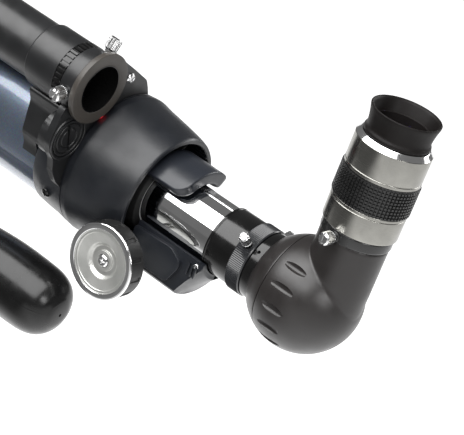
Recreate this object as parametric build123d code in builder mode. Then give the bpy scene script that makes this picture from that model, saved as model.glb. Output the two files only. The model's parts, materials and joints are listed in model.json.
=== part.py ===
"""Small refractor telescope with its erecting diagonal, eyepiece, aiming finder and pan head.

Millimetres. +Y runs from the objective to the eyepiece end, +X is the telescope's left side and +Z is up.
The origin is the mouth of the tripod socket, on the pan axis. Most stations along the tube are measured
from the front face of the drawtube collar, which is named collar_y.
"""
from build123d import *
from math import acos, cos, pi, radians, sin, sqrt, tan
import os

# Frame
axis_z = 150.0
collar_y = 330.0
fit = 0.05
gap = 0.3

# Optical tube
tube_r = 37.0
tube_wall = 0.9
tube_front = -800.0
tube_rear = -74.0
cell_front = -102.0
cell_rim = -41.4
cell_max_r = 40.3
cell_rim_r = 34.4
cell_socket_r = tube_r + 0.02
lens_r = 36.2
objective_y = -812.0
shade_r = 43.0
shade_front = -880.0

# Focuser
drawtube_r = 17.1
drawtube_bore = 16.0
housing_bore = 17.6
chin_bore = 19.0
chin_half = 18.5
chin_bottom_r = 37.7
chin_start = -40.9
chin_end = 4.0
pad_x = 21.0
module = 0.8
pinion_teeth = 14
pitch_r = module * pinion_teeth / 2
pinion_y = -37.0
pinion_z = -26.1
rack_pitch_z = pinion_z + pitch_r
rack_half = 4.0
knob_face = 47.0
knob_back = 36.3
knob_r = 20.1
shaft_r = 3.0
collar_r = 18.4
ring_front = 15.8
ring_rear = 24.8
ring_r = 19.3
barrel_r = 15.875
socket_r = 15.95
screw_r = 1.6

# Diagonal and eyepiece
ball_y = 53.3
ball_z = 0.3
ball_r = 29.9
seam_y = 42.3
eye_y = 65.6
neck_r = 17.8
neck_top = 48.2
band_low = 48.4
grip_low = 62.4
grip_top = 78.4
crown_top = 96.5
cup_top = 110.1
grip_r = 20.0
body_r = 19.5

# Finder
finder_angle = 52.5
finder_rho = 64.0
finder_bore = 12.7
finder_r = 17.2
finder_slim_r = 15.8
finder_rear_r = 19.5
finder_groove_r = 15.8
dial_front = -93.3
dial_rear = -88.2
finder_screw_y = -83.5
finder_screw_lift = 28.0
flange_y = -80.0
cover_t = 23.6
cover_rho = 45.4
cover_r = 10.4

# Pan head
bar_half = 60.0
bar_low = -53.5
bar_top = -40.0
tilt_z = -92.0
platform_low = -66.0
platform_half = 30.0
cheek_in = 14.4
cheek_out = 24.0
turn_top = -112.0
turn_low = -127.7
head_r = 28.0
head_low = -axis_z
handle_x = 45.0
handle_z = -68.0
handle_r = 19.5

os.makedirs("parts", exist_ok=True)


def spindle(origin, along, radial):
    """Plane whose local X is a turning axis and whose local Y is a radius."""
    along, radial = Vector(*along), Vector(*radial)
    return Plane(origin=origin, x_dir=along, z_dir=along.cross(radial))


optic = spindle((0, collar_y, axis_z), (0, 1, 0), (0, 0, 1))
eye = spindle((0, collar_y + eye_y, axis_z), (0, 0, 1), (0, 1, 0))
cross = spindle((0, collar_y + pinion_y, axis_z + pinion_z), (1, 0, 0), (0, 0, 1))
tilt = spindle((0, 0, axis_z + tilt_z), (1, 0, 0), (0, 0, 1))
pan = spindle((0, 0, axis_z), (0, 0, 1), (0, 1, 0))
grip = spindle((handle_x, collar_y, axis_z + handle_z), (0, 1, 0), (0, 0, 1))
finder_up = (cos(radians(finder_angle)), 0, sin(radians(finder_angle)))
finder_side = (sin(radians(finder_angle)), 0, -cos(radians(finder_angle)))


def finder_point(side, station, height):
    """Point given by its sideways, lengthways and outward distances in the finder's own frame."""
    return Vector(0, collar_y + station, axis_z) + Vector(*finder_side) * side + Vector(*finder_up) * height


def outline_face(plane, points):
    """Closed flat face through the points."""
    with BuildSketch(plane) as section:
        with BuildLine():
            Polyline(*points, close=True)
        make_face()
    return section.sketch


def turn(plane, points, mode=Mode.ADD):
    """Revolve a closed outline of (station, radius) points about the spindle's own axis."""
    revolve(outline_face(plane, points), axis=Axis(plane.origin, plane.x_dir), mode=mode)


def drum(plane, start, end, outer, inner=0.0, mode=Mode.ADD):
    """Cylinder or tube on a spindle between two stations."""
    turn(plane, [(start, inner), (end, inner), (end, outer), (start, outer)], mode)


def block(low, high, mode=Mode.ADD):
    """Box between two corners given from the collar's centre."""
    size = [high[i] - low[i] for i in range(3)]
    middle = ((low[0] + high[0]) / 2, (low[1] + high[1]) / 2 + collar_y, (low[2] + high[2]) / 2 + axis_z)
    with Locations(middle):
        Box(*size, mode=mode)


def cross_face(points, station):
    """Face square to the tube at a station, through points given as (left, up)."""
    plane = Plane(origin=(0, collar_y + station, axis_z), x_dir=(1, 0, 0), z_dir=(0, -1, 0))
    return outline_face(plane, points)


def save(part, label):
    """Label a finished piece and write it."""
    part.part.label = label
    export_step(part.part, f"parts/{label}.step")


def thumbscrew(name, plane, tip, seat, head_end, head_r, slot=0.9):
    """Thumbscrew on a radial spindle: plain shank, collar, head and a driver slot across its end."""
    with BuildPart() as screw:
        drum(plane, tip, seat + 0.6, screw_r)
        drum(plane, seat + 0.25, seat + 1.6, head_r * 0.66)
        neck = seat + 1.6
        turn(plane, [(neck, 0), (head_end, 0), (head_end, head_r - 0.5), (head_end - 0.5, head_r),
                     (neck + 0.5, head_r), (neck, head_r - 0.5)])
        with Locations(Plane(origin=plane.origin + plane.x_dir * head_end, x_dir=plane.y_dir,
                             z_dir=plane.x_dir)):
            Box(head_r * 3, slot, 1.4, mode=Mode.SUBTRACT)
    save(screw, name)


# ---------------------------------------------------------------- optical tube
with BuildPart() as main_tube:
    drum(optic, tube_front, tube_rear, tube_r, tube_r - tube_wall)
save(main_tube, "main_tube")

with BuildPart() as tube_baffles:
    for station, opening in ((-620.0, 30.0), (-450.0, 25.0), (-280.0, 20.0)):
        drum(optic, station, station + 1.2, tube_r - tube_wall, opening)
        drum(optic, station, station + 7.0, tube_r - tube_wall, tube_r - tube_wall - 1.2)
save(tube_baffles, "tube_baffles")

seat_front = objective_y - 10.0
with BuildPart() as front_cell:
    turn(optic, [(-776, cell_socket_r), (-776, 39.2), (-780, 40.4), (-816, 40.4), (-818, 39.4),
                 (seat_front - 6, 39.4), (seat_front - 6, lens_r), (-803.6, lens_r), (-803.6, 35.0),
                 (tube_front, 35.0), (tube_front, cell_socket_r)])
save(front_cell, "front_cell")

with BuildPart() as dew_shield:
    turn(optic, [(-786, 40.45), (-786, shade_r - 0.6), (-788, shade_r), (shade_front + 3, shade_r),
                 (shade_front, shade_r - 1.0), (shade_front, shade_r - 2.2),
                 (shade_front + 2, shade_r - 2.0),
                 (-800, shade_r - 2.0), (-800, 40.45)])
save(dew_shield, "dew_shield")


def lens(name, plane, radius, front, rear, front_bulge, rear_bulge):
    """Lens between two edge stations; a positive bulge stands out of the edge, a negative one sinks in."""
    with BuildPart() as glass:
        drum(plane, front, rear, radius)
        for edge, bulge, outward in ((front, front_bulge, -1), (rear, rear_bulge, 1)):
            sphere_r = (radius ** 2 + bulge ** 2) / (2 * abs(bulge))
            apex = edge + outward * bulge
            middle = apex - outward * sphere_r * (1 if bulge > 0 else -1)
            centre = Plane(origin=plane.origin + plane.x_dir * middle, z_dir=plane.x_dir)
            if bulge > 0:
                ball = Solid.make_sphere(sphere_r, centre, -90, 90, 360)
                cap = ball & Solid.make_cylinder(radius, bulge + 0.5, Plane(
                    origin=plane.origin + plane.x_dir * (edge - outward * 0.5),
                    z_dir=plane.x_dir * outward))
                add(cap)
            else:
                add(Solid.make_sphere(sphere_r, centre, -90, 90, 360), mode=Mode.SUBTRACT)
    save(glass, name)


lens("crown_lens", optic, lens_r - fit, -816.5, -813.0, 1.2, 1.5)
lens("flint_lens", optic, lens_r - fit, -810.6, -804.0, -1.6, 0.3)

with BuildPart() as lens_spacer:
    drum(optic, -812.85, -810.65, lens_r - fit, 35.4)
save(lens_spacer, "lens_spacer")

with BuildPart() as lens_retainer:
    drum(optic, seat_front - 2.0, -816.6, lens_r - fit, 34.8)
    for turn_angle in (0, 180):
        notch = spindle((0, collar_y + seat_front - 2.0, axis_z), (0, 1, 0),
                        (cos(radians(turn_angle)), 0, sin(radians(turn_angle))))
        with Locations(Plane(origin=notch.origin + notch.y_dir * lens_r, x_dir=(0, 1, 0), z_dir=(0, 0, 1))):
            Box(3.0, 3.0, 3.0, mode=Mode.SUBTRACT)
save(lens_retainer, "lens_retainer")

# Rear cell: a flared hood that the tube slides into, stepped inside to hold the focuser housing
cell_screw_y = -91.0
cell_screw_angles = (-150, -30, 90 + 75)
with BuildPart() as rear_cell:
    turn(optic, [(cell_front, cell_socket_r), (cell_front, 37.7), (cell_front + 1.2, 38.2), (-92, 38.8),
                 (-79.8, cell_max_r - 0.2), (-79.6, cell_max_r - 0.6), (-79.2, cell_max_r - 0.6),
                 (-79.0, cell_max_r), (-74, cell_max_r), (-60, 38.0), (cell_rim - 0.6, cell_rim_r),
                 (cell_rim, cell_rim_r - 0.4), (cell_rim, cell_rim_r - 2.4),
                 (cell_rim - 0.6, cell_rim_r - 2.8),
                 (-62, 34.6), (-69.9, 34.6), (-69.9, 33.0), (tube_rear, 33.0), (tube_rear, cell_socket_r)])
    for angle in cell_screw_angles:
        way = (cos(radians(angle)), 0, sin(radians(angle)))
        bolt = spindle((0, collar_y + cell_screw_y, axis_z), way, (0, 1, 0))
        drum(bolt, 36.0, 45.0, 1.5, mode=Mode.SUBTRACT)
save(rear_cell, "rear_cell")

# Focuser housing: flange and sleeve inside the cell, arched tongue above the drawtube, chin below it
tongue_out = 27.0
tongue_in = 19.6
tongue_end = -21.0
tongue_root = -46.0
rib_count = 14
cap_front = chin_start
cap_rear = -20.0
cap_top = -33.9


def cap_spindle(side):
    """Upright spindle of one of the two pinion cap screws."""
    return spindle((side * 6.0, collar_y - 24.5, axis_z), (0, 0, 1), (0, 1, 0))


with BuildPart() as focuser_housing:
    drum(optic, tube_rear, -70, 32.9, housing_bore)
    drum(optic, -70.5, -44, 22.5, housing_bore)
    with BuildSketch(Plane(origin=(0, collar_y - 71, axis_z), x_dir=(1, 0, 0), z_dir=(0, 1, 0))):
        with PolarLocations(26.8, rib_count):
            Rectangle(11.0, 1.6)
    extrude(amount=19)
    bottom_x = chin_half - 1.0
    bottom_z = -sqrt(chin_bottom_r ** 2 - bottom_x ** 2)
    with BuildSketch(Plane(origin=(0, collar_y + chin_end, axis_z), x_dir=(1, 0, 0), z_dir=(0, -1, 0))):
        with BuildLine():
            Line((chin_half, -9.5), (-chin_half, -9.5))
            Line((-chin_half, -9.5), (-chin_half, bottom_z + 1.6))
            Line((-chin_half, bottom_z + 1.6), (-bottom_x, bottom_z))
            ThreePointArc((-bottom_x, bottom_z), (0, -chin_bottom_r), (bottom_x, bottom_z))
            Line((bottom_x, bottom_z), (chin_half, bottom_z + 1.6))
            Line((chin_half, bottom_z + 1.6), (chin_half, -9.5))
        make_face()
    extrude(amount=chin_end - chin_start)
    block((-14, -71, -27.5), (14, chin_start + 0.5, -9.5))
    # the chin's rear end narrows in a cone towards the drawtube
    turn(optic, [(-8.4, chin_bottom_r + 0.8), (-3, 30), (chin_end + 1, 20.6), (chin_end + 6, 20.6),
                 (chin_end + 6, 45),
                 (-8.4, 45)], Mode.SUBTRACT)
    # raised bearing pads on both cheeks
    pad = [(chin_start, -12), (-16, -10.5), (-8.5, -15), (-8.5, -19), (-13, -29.2), (chin_start, -29.2)]
    pad_plane = Plane(origin=(-pad_x, collar_y, axis_z), x_dir=(0, 1, 0), z_dir=(1, 0, 0))
    with BuildSketch(pad_plane):
        with BuildLine():
            Polyline(*pad, close=True)
        make_face()
    extrude(amount=2 * pad_x)
    # arched tongue
    arch = [(tongue_in * cos(radians(a)), tongue_in * sin(radians(a))) for a in (40, 90, 140)]
    arch += [(tongue_out * cos(radians(a)), tongue_out * sin(radians(a))) for a in (138, 90, 42)]
    with BuildSketch(Plane(origin=(0, collar_y + tongue_end, axis_z), x_dir=(1, 0, 0), z_dir=(0, -1, 0))):
        with BuildLine():
            ThreePointArc(*arch[:3])
            Line(arch[2], arch[3])
            ThreePointArc(*arch[3:])
            Line(arch[5], arch[0])
        make_face()
    extrude(amount=tongue_end - tongue_root)
    # rounded plan corners of the tongue
    plan = Plane(origin=(0, collar_y, axis_z + 5), x_dir=(1, 0, 0), z_dir=(0, 0, 1))
    for side in (-1, 1):
        with BuildSketch(plan):
            with BuildLine():
                ThreePointArc((side * 20.5, tongue_end - 13), (side * 16.7, tongue_end - 3.8),
                              (side * 7.5, tongue_end + 0.01))
                Line((side * 7.5, tongue_end + 0.01), (side * 26, tongue_end + 0.01))
                Line((side * 26, tongue_end + 0.01), (side * 26, tongue_end - 13))
                Line((side * 26, tongue_end - 13), (side * 20.5, tongue_end - 13))
            make_face()
        extrude(amount=30, mode=Mode.SUBTRACT)
    # bores, key slot, rack channel, pinion chamber and cap opening
    drum(optic, tube_rear - 1, -40, housing_bore, mode=Mode.SUBTRACT)
    drum(optic, -44, chin_end + 1, chin_bore, mode=Mode.SUBTRACT)
    block((-2.4, tube_rear - 1, 10), (2.4, -40, 18.6), mode=Mode.SUBTRACT)
    block((-rack_half - 0.4, tube_rear - 1, -22.4), (rack_half + 0.4, chin_end + 1, -10),
          mode=Mode.SUBTRACT)
    drum(cross, -6.6, 6.6, 7.2, mode=Mode.SUBTRACT)
    drum(cross, -25, 25, shaft_r + fit, mode=Mode.SUBTRACT)
    block((-6.6, pinion_y - 3.4, -34), (6.6, pinion_y + 7.2, pinion_z), mode=Mode.SUBTRACT)
    block((-9, cap_front, -chin_bottom_r - 1), (9, cap_rear, cap_top), mode=Mode.SUBTRACT)
    for station in (-4.2, -1.9, 0.4):
        for side in (-1, 1):
            low = min(side * (chin_half - 0.5), side * (chin_half + 1.5))
            block((low, station, -19), (low + 2.0, station + 1.0, -12))
    for side in (-1, 1):
        drum(cap_spindle(side), -34, -27, 1.25, mode=Mode.SUBTRACT)
save(focuser_housing, "focuser_housing")

with BuildPart() as pinion_cap:
    block((-8.95, cap_front, -chin_bottom_r), (8.95, cap_rear - fit, cap_top))
    drum(optic, cap_front - 1, cap_rear + 1, chin_bottom_r, mode=Mode.INTERSECT)
    for side in (-1, 1):
        drum(cap_spindle(side), -chin_bottom_r - 1, cap_top + 1, 1.25, mode=Mode.SUBTRACT)
        drum(cap_spindle(side), -chin_bottom_r - 1, -chin_bottom_r + 1.6, 2.4, mode=Mode.SUBTRACT)
save(pinion_cap, "pinion_cap")

with BuildPart() as drawtube_liner:
    for start in (-73.5, -52.0):
        drum(optic, start, start + 7.5, housing_bore, drawtube_r + 0.07)
    block((-2.4, -80, 10), (2.4, -40, 18.6), mode=Mode.SUBTRACT)
    block((-rack_half - 0.4, -80, -22.4), (rack_half + 0.4, -40, -10), mode=Mode.SUBTRACT)
save(drawtube_liner, "drawtube_liner")

# ---------------------------------------------------------------- drawtube
with BuildPart() as drawtube:
    drum(optic, -112, 9, drawtube_r, drawtube_bore)
save(drawtube, "drawtube")

rack_front = -104.0
rack_rear = -19.0
addendum = 0.72 * module
dedendum = 1.1 * module
pitch = pi * module
backlash = 0.12
half_at_pitch = pitch / 4 - backlash / 2
flank = tan(radians(20))
rack_outline = [(rack_front, -drawtube_r + 0.25), (rack_front, rack_pitch_z + dedendum)]
tooth = pinion_y - pitch * int((pinion_y - rack_front) / pitch - 0.5)
while tooth < rack_rear - pitch / 2:
    for offset, height in ((-half_at_pitch - dedendum * flank, dedendum),
                           (-half_at_pitch + addendum * flank, -addendum),
                           (half_at_pitch - addendum * flank, -addendum),
                           (half_at_pitch + dedendum * flank, dedendum)):
        rack_outline.append((tooth + offset, rack_pitch_z + height))
    tooth += pitch
rack_outline += [(rack_rear, rack_pitch_z + dedendum), (rack_rear, -drawtube_r + 0.25)]
with BuildPart() as drawtube_rack:
    side_plane = Plane(origin=(-rack_half, collar_y, axis_z), x_dir=(0, 1, 0), z_dir=(1, 0, 0))
    with BuildSketch(side_plane):
        with BuildLine():
            Polyline(*rack_outline, close=True)
        make_face()
    extrude(amount=2 * rack_half)
    drum(optic, rack_front - 1, rack_rear + 1, drawtube_r, mode=Mode.SUBTRACT)
save(drawtube_rack, "drawtube_rack")

with BuildPart() as drawtube_key:
    block((-2.0, -100, 16.5), (2.0, -0.1, 18.0))
    drum(optic, -101, 1, drawtube_r, mode=Mode.SUBTRACT)
save(drawtube_key, "drawtube_key")

with BuildPart() as drawtube_collar:
    turn(optic, [(0, drawtube_r), (0, collar_r - 0.3), (0.3, collar_r), (ring_front - 0.3, collar_r),
                 (ring_front, collar_r - 0.3), (ring_front, 17.3), (9, 17.3), (9, drawtube_r)])
save(drawtube_collar, "drawtube_collar")

ring_screws = {"adapter_screw_left": 41.0, "adapter_screw_right": 161.0}
ring_screw_y = 20.3


def ring_spindle(angle):
    """Radial spindle through the adapter ring at an angle round the tube."""
    way = (cos(radians(angle)), 0, sin(radians(angle)))
    return spindle((0, collar_y + ring_screw_y, axis_z), way, (0, 1, 0))


with BuildPart() as adapter_ring:
    turn(optic, [(9.6, socket_r), (9.6, 17.25), (ring_front, 17.25), (ring_front, ring_r - 0.4),
                 (ring_front + 0.4, ring_r), (ring_rear - 0.4, ring_r), (ring_rear, ring_r - 0.4),
                 (ring_rear, socket_r)])
    for angle in ring_screws.values():
        drum(ring_spindle(angle), 15, 21, screw_r + fit, mode=Mode.SUBTRACT)
save(adapter_ring, "adapter_ring")

for label, angle in ring_screws.items():
    thumbscrew(label, ring_spindle(angle), 16.0, ring_r, 28.6, 2.7)

# ---------------------------------------------------------------- pinion and focus knobs
tip_r = pitch_r + 0.9 * module
root_r = pitch_r - 1.2 * module
base_r = pitch_r * cos(radians(20))
tooth_half_angle = pi / (2 * pinion_teeth) - backlash / (2 * pitch_r)


def involute(angle):
    """Roll from the base circle that gives a pressure angle."""
    return tan(angle) - angle


def flank_angle(radius):
    """Half-angle of a pinion tooth at a radius."""
    return tooth_half_angle + involute(radians(20)) - involute(acos(min(1.0, base_r / radius)))


gear_radii = [base_r + (tip_r - base_r) * step / 4 for step in range(5)]
gear_outline = []
for index in range(pinion_teeth):
    middle = 2 * pi * (index + 0.5) / pinion_teeth
    side = [(root_r, flank_angle(base_r))] + [(radius, flank_angle(radius)) for radius in gear_radii]
    for radius, half in side:
        gear_outline.append((radius * sin(middle - half), radius * cos(middle - half)))
    for radius, half in reversed(side):
        gear_outline.append((radius * sin(middle + half), radius * cos(middle + half)))
gear_plane = Plane(origin=(-5.5, collar_y + pinion_y, axis_z + pinion_z), x_dir=(0, 1, 0), z_dir=(1, 0, 0))
with BuildPart() as pinion_shaft:
    with BuildSketch(gear_plane):
        with BuildLine():
            Polyline(*gear_outline, close=True)
        make_face()
    extrude(amount=11)
    drum(cross, -42.0, 42.0, shaft_r)
save(pinion_shaft, "pinion_shaft")

for label, side in (("left", 1), ("right", -1)):
    wheel = spindle(cross.origin, (side, 0, 0), (0, 0, 1))
    with BuildPart() as knob_disc:
        turn(wheel, [(knob_back + 0.2, shaft_r), (knob_back + 0.2, 18.6), (knob_face - 1.0, 18.6),
                     (knob_face, 18.2), (knob_face, 15.2), (knob_face - 0.5, 14.8), (knob_face - 2.4, 9.0),
                     (knob_face - 3.6, 8.0), (knob_face - 3.8, 5.6), (knob_face - 2.6, 5.2),
                     (knob_face - 2.6, 3.4), (42.2, 3.4), (42.2, shaft_r)])
    save(knob_disc, f"knob_{label}_disc")
    with BuildPart() as knob_grip:
        turn(wheel, [(knob_back, 18.6), (knob_back, knob_r - 0.5), (knob_back + 0.6, knob_r),
                     (knob_face - 1.2, knob_r), (knob_face - 0.2, knob_r - 0.6), (knob_face - 0.2, 18.6),
                     (knob_face - 1.0, 18.6)])
        notches = Plane(origin=wheel.origin + wheel.x_dir * (knob_back + 2.2), x_dir=wheel.y_dir,
                        z_dir=wheel.x_dir)
        with BuildSketch(notches):
            with PolarLocations(knob_r, 12):
                Rectangle(1.0, 3.0)
        extrude(amount=6.2, mode=Mode.SUBTRACT)
    save(knob_grip, f"knob_{label}_grip")

with BuildPart() as knob_screws:
    for side in (1, -1):
        wheel = spindle(cross.origin, (side, 0, 0), (0, 0, 1))
        turn(wheel, [(42.2, 0), (knob_face - 1.8, 0), (knob_face - 1.8, 2.4), (knob_face - 2.4, 3.2),
                     (42.2, 3.2)])
        with Locations(Plane(origin=wheel.origin + wheel.x_dir * (knob_face - 1.8), x_dir=wheel.y_dir,
                             z_dir=wheel.x_dir)):
            Box(3.4, 0.8, 1.6, mode=Mode.SUBTRACT)
            Box(0.8, 3.4, 1.6, mode=Mode.SUBTRACT)
save(knob_screws, "knob_screws")

# ---------------------------------------------------------------- diagonal
nose_flange = ring_rear + 0.5
with BuildPart() as diagonal_nose:
    turn(optic, [(11.5, 14.6), (11.5, barrel_r), (nose_flange, barrel_r), (nose_flange, 18.2),
                 (nose_flange + 0.3, 18.5), (30.4, 18.5), (30.4, 15.4), (33.5, 15.4), (33.5, 14.6)])
    grub = spindle((0, collar_y + 27.6, axis_z), (cos(radians(41)), 0, sin(radians(41))), (0, 1, 0))
    drum(grub, 16.6, 20, 0.9, mode=Mode.SUBTRACT)
save(diagonal_nose, "diagonal_nose")

ball_centre = Vector(0, collar_y + ball_y, axis_z + ball_z)
shell_wall = 2.6


def ball_outline(start, end, shift=0.0):
    """Stations and radii on the ball between two stations."""
    steps = 10
    stations = [start + (end - start) * step / steps for step in range(steps + 1)]
    return [(y, sqrt(max((ball_r - shift) ** 2 - (y - ball_y) ** 2, 0))) for y in stations]


with BuildPart() as diagonal_front_shell:
    with BuildSketch(spindle((0, collar_y, axis_z + ball_z), (0, 1, 0), (0, 0, 1))):
        with BuildLine():
            outer = ball_outline(31.0, seam_y - 0.15)
            inner = ball_outline(33.5, seam_y - 0.15, shell_wall)
            ThreePointArc(outer[0], outer[5], outer[-1])
            Line(outer[-1], inner[-1])
            ThreePointArc(inner[-1], inner[5], inner[0])
            Line(inner[0], (33.5, 15.8))
            Line((33.5, 15.8), (30.4, 15.8))
            Line((30.4, 15.8), (30.4, 18.4))
            Line((30.4, 18.4), outer[0])
        make_face()
    revolve(axis=Axis((0, collar_y, axis_z + ball_z), (0, 1, 0)))
save(diagonal_front_shell, "diagonal_front_shell")

dimple_angles = [-70 + 22.5 * step for step in range(6)]
with BuildPart() as diagonal_rear_shell:
    with Locations(ball_centre):
        Sphere(ball_r)
    drum(eye, 0, 42.4, neck_r)
    with Locations(ball_centre):
        Sphere(ball_r - shell_wall, mode=Mode.SUBTRACT)
    drum(eye, 5, 43, 16.6, mode=Mode.SUBTRACT)
    block((-40, -20, -40), (40, seam_y + 0.15, 60), mode=Mode.SUBTRACT)
    for angle in dimple_angles:
        for side in (1, -1):
            way = Vector(side * cos(radians(angle)), 0, sin(radians(angle)))
            groove = spindle(Vector(0, collar_y + 53.6, axis_z + ball_z) + way * 30.4, (0, 1, 0), way)
            with BuildSketch(groove) as spindle_half:
                with BuildLine():
                    ThreePointArc((-11, 0), (0, 2.4), (11, 0))
                    Line((11, 0), (-11, 0))
                make_face()
            revolve(spindle_half.sketch, axis=Axis(groove.origin, groove.x_dir), mode=Mode.SUBTRACT)
save(diagonal_rear_shell, "diagonal_rear_shell")

neck_screw_angle = -4.0
neck_screw_z = 44.8
socket_low = 42.4
neck_way = (cos(radians(neck_screw_angle)), sin(radians(neck_screw_angle)), 0)
neck_screw = spindle((0, collar_y + eye_y, axis_z + neck_screw_z), neck_way, (0, 0, 1))
with BuildPart() as diagonal_socket:
    turn(eye, [(23.0, socket_r), (23.0, 16.6), (socket_low, 16.6), (socket_low, 18.0),
               (socket_low + 0.6, 18.4),
               (neck_top - 0.5, 18.4), (neck_top, 18.0), (neck_top, socket_r)])
    drum(neck_screw, neck_r + 0.1, 19.6, 2.8)
    drum(neck_screw, 14.0, 21.0, screw_r + fit, mode=Mode.SUBTRACT)
save(diagonal_socket, "diagonal_socket")

thumbscrew("diagonal_screw", neck_screw, 16.0, 19.6, 28.0, 3.3)

with BuildPart() as diagonal_prism:
    prism_side = 11.0
    corner = (collar_y + eye_y, axis_z)
    plane = Plane(origin=(-prism_side, 0, 0), x_dir=(0, 1, 0), z_dir=(1, 0, 0))
    with BuildSketch(plane):
        with BuildLine():
            Polyline((corner[0] - prism_side, corner[1] + prism_side),
                     (corner[0] - prism_side, corner[1] - prism_side),
                     (corner[0] + prism_side, corner[1] + prism_side), close=True)
        make_face()
    extrude(amount=2 * prism_side)
save(diagonal_prism, "diagonal_prism")

# ---------------------------------------------------------------- eyepiece
with BuildPart() as eyepiece_barrel:
    turn(eye, [(26.0, 14.4), (26.0, barrel_r - 0.3), (26.3, barrel_r), (34, barrel_r),
               (34.6, barrel_r - 0.5),
               (38.4, barrel_r - 0.5), (39, barrel_r), (56, barrel_r), (56, 14.4)])
save(eyepiece_barrel, "eyepiece_barrel")

with BuildPart() as eyepiece_body:
    turn(eye, [(band_low, barrel_r), (band_low, body_r - 0.5), (band_low + 0.5, body_r), (grip_low, body_r),
               (grip_low, 18.2), (grip_top, 18.2), (grip_top, 16.4), (56, 16.4), (56, barrel_r)])
save(eyepiece_body, "eyepiece_body")

with BuildPart() as eyepiece_grip:
    drum(eye, grip_low, grip_top, grip_r, 18.2)
save(eyepiece_grip, "eyepiece_grip")

with BuildPart() as eyepiece_crown:
    turn(eye, [(grip_top, 14.0), (grip_top, 19.6), (94.0, 19.6), (crown_top, 17.4), (crown_top, 13.4),
               (90.0, 13.4), (90.0, 14.0)])
save(eyepiece_crown, "eyepiece_crown")

with BuildPart() as eyecup:
    turn(eye, [(crown_top, 13.5), (crown_top, 16.7), (98.2, 16.9), (99.6, 16.2), (103.0, 16.4),
               (107.0, 17.2), (cup_top - 0.6, 17.9), (cup_top, 17.6), (cup_top, 16.4), (107.0, 15.0),
               (103.0, 13.9)])
save(eyecup, "eyecup")

lens("field_lens", eye, 13.9, 79.2, 82.6, 0.8, 1.6)
lens("eye_lens", eye, 13.9, 85.8, 89.4, 1.6, 0.5)

with BuildPart() as eyepiece_spacer:
    drum(eye, 82.95, 85.5, 13.9, 13.1)
save(eyepiece_spacer, "eyepiece_spacer")

# ---------------------------------------------------------------- finder
saddle_front = -112.0
pivot_y = -100.0
pivot_rho = 42.6
flange_left = [(36.5, 16.3), (38.3, 24.0), (38.3, 32.0), (35.7, 39.7), (36.5, 46.0), (35.4, 51.9),
               (30.0, 58.0),
               (23.2, 63.8), (19.5, 66.0)]
flange_right = [(-19.5, 68.0), (-22.3, 60.7), (-27.3, 49.4), (-32.9, 35.8), (-32.4, 29.6), (-31.5, 24.7),
                (-31.5, 17.0)]


def finder_outline(points, station, depth, mode=Mode.ADD):
    """Extrude forward an outline of (side, outward) points."""
    plane = Plane(origin=finder_point(0, station, 0), x_dir=finder_side, z_dir=(0, -1, 0))
    extrude(outline_face(plane, points), amount=depth, mode=mode)


def both_sides(half):
    """Close a left-hand run of points with its mirror image."""
    return half + [(-side, height) for side, height in reversed(half)]


sight = spindle(finder_point(0, 0, finder_rho), (0, 1, 0), finder_up)
pivot = spindle(finder_point(0, pivot_y, pivot_rho), finder_side, finder_up)
pocket = spindle(finder_point(cover_t, flange_y - 9, cover_rho), (0, 1, 0), finder_up)
bracket_bolt = spindle(finder_point(-22.5, 0, 47.7), (0, 1, 0), finder_up)


def finder_screw_spindle(side):
    """Radial spindle of one of the two aiming screws."""
    lift = radians(finder_screw_lift)
    way = Vector(*finder_side) * side * cos(lift) + Vector(*finder_up) * sin(lift)
    return spindle(finder_point(0, finder_screw_y, finder_rho), way, (0, 1, 0))


with BuildPart() as finder_bracket:
    finder_outline(flange_left + flange_right, flange_y, 4.0)
    finder_outline(both_sides([(32.3, 18.1), (29.3, 23.7), (28.7, 31.5), (18.4, 46.7), (17.0, 54.5)]),
                   flange_y - 3.9, -saddle_front + flange_y - 3.9)
    drum(pocket, 0, 6, 12.5)
    drum(optic, cell_front - 0.4, -60, cell_max_r + 0.05, mode=Mode.SUBTRACT)
    drum(optic, -170, cell_front, tube_r + 0.02, mode=Mode.SUBTRACT)
    drum(sight, -120, -70, finder_r + 1.0, mode=Mode.SUBTRACT)
    drum(pocket, 5.9, 12, cover_r + 0.2, mode=Mode.SUBTRACT)
    drum(pocket, 2.6, 6, 8.3, mode=Mode.SUBTRACT)
    finder_outline(both_sides([(5.4, 38.5), (5.4, 50.0)]), pivot_y + 8, 16.2, mode=Mode.SUBTRACT)
    drum(pivot, -12, 12, 1.55, mode=Mode.SUBTRACT)
    drum(bracket_bolt, flange_y - 5, flange_y + 1, 1.7, mode=Mode.SUBTRACT)
save(finder_bracket, "finder_bracket")

with BuildPart() as finder_tube:
    turn(sight, [(-75.8, finder_bore), (-75.8, finder_rear_r - 0.8), (-76.6, finder_rear_r),
                 (-79.0, finder_rear_r),
                 (-79.0, finder_r), (dial_rear + 0.1, finder_r), (dial_rear + 0.1, finder_groove_r),
                 (dial_front - 0.1, finder_groove_r), (dial_front - 0.1, finder_r), (-112.6, finder_r),
                 (-113.6, finder_slim_r), (-148, finder_slim_r), (-154, 18.0), (-167, 18.0), (-168, 17.4),
                 (-168, 15.0), (-157.8, 15.0), (-157.8, 13.4), (-98, 13.4), (-98, finder_bore)])
    with BuildSketch(Plane(origin=finder_point(-5, 0, 0), x_dir=(0, 1, 0), z_dir=finder_side)):
        with BuildLine():
            Polyline((pivot_y - 4, pivot_rho - 2), (pivot_y + 4, pivot_rho - 2), (pivot_y + 6, 49.0),
                     (pivot_y - 6, 49.0), close=True)
        make_face()
    extrude(amount=10)
    drum(pivot, -12, 12, 1.5)
    for side in (-1, 1):
        drum(finder_screw_spindle(side), 14, 19, screw_r + fit, mode=Mode.SUBTRACT)
save(finder_tube, "finder_tube")

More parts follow.
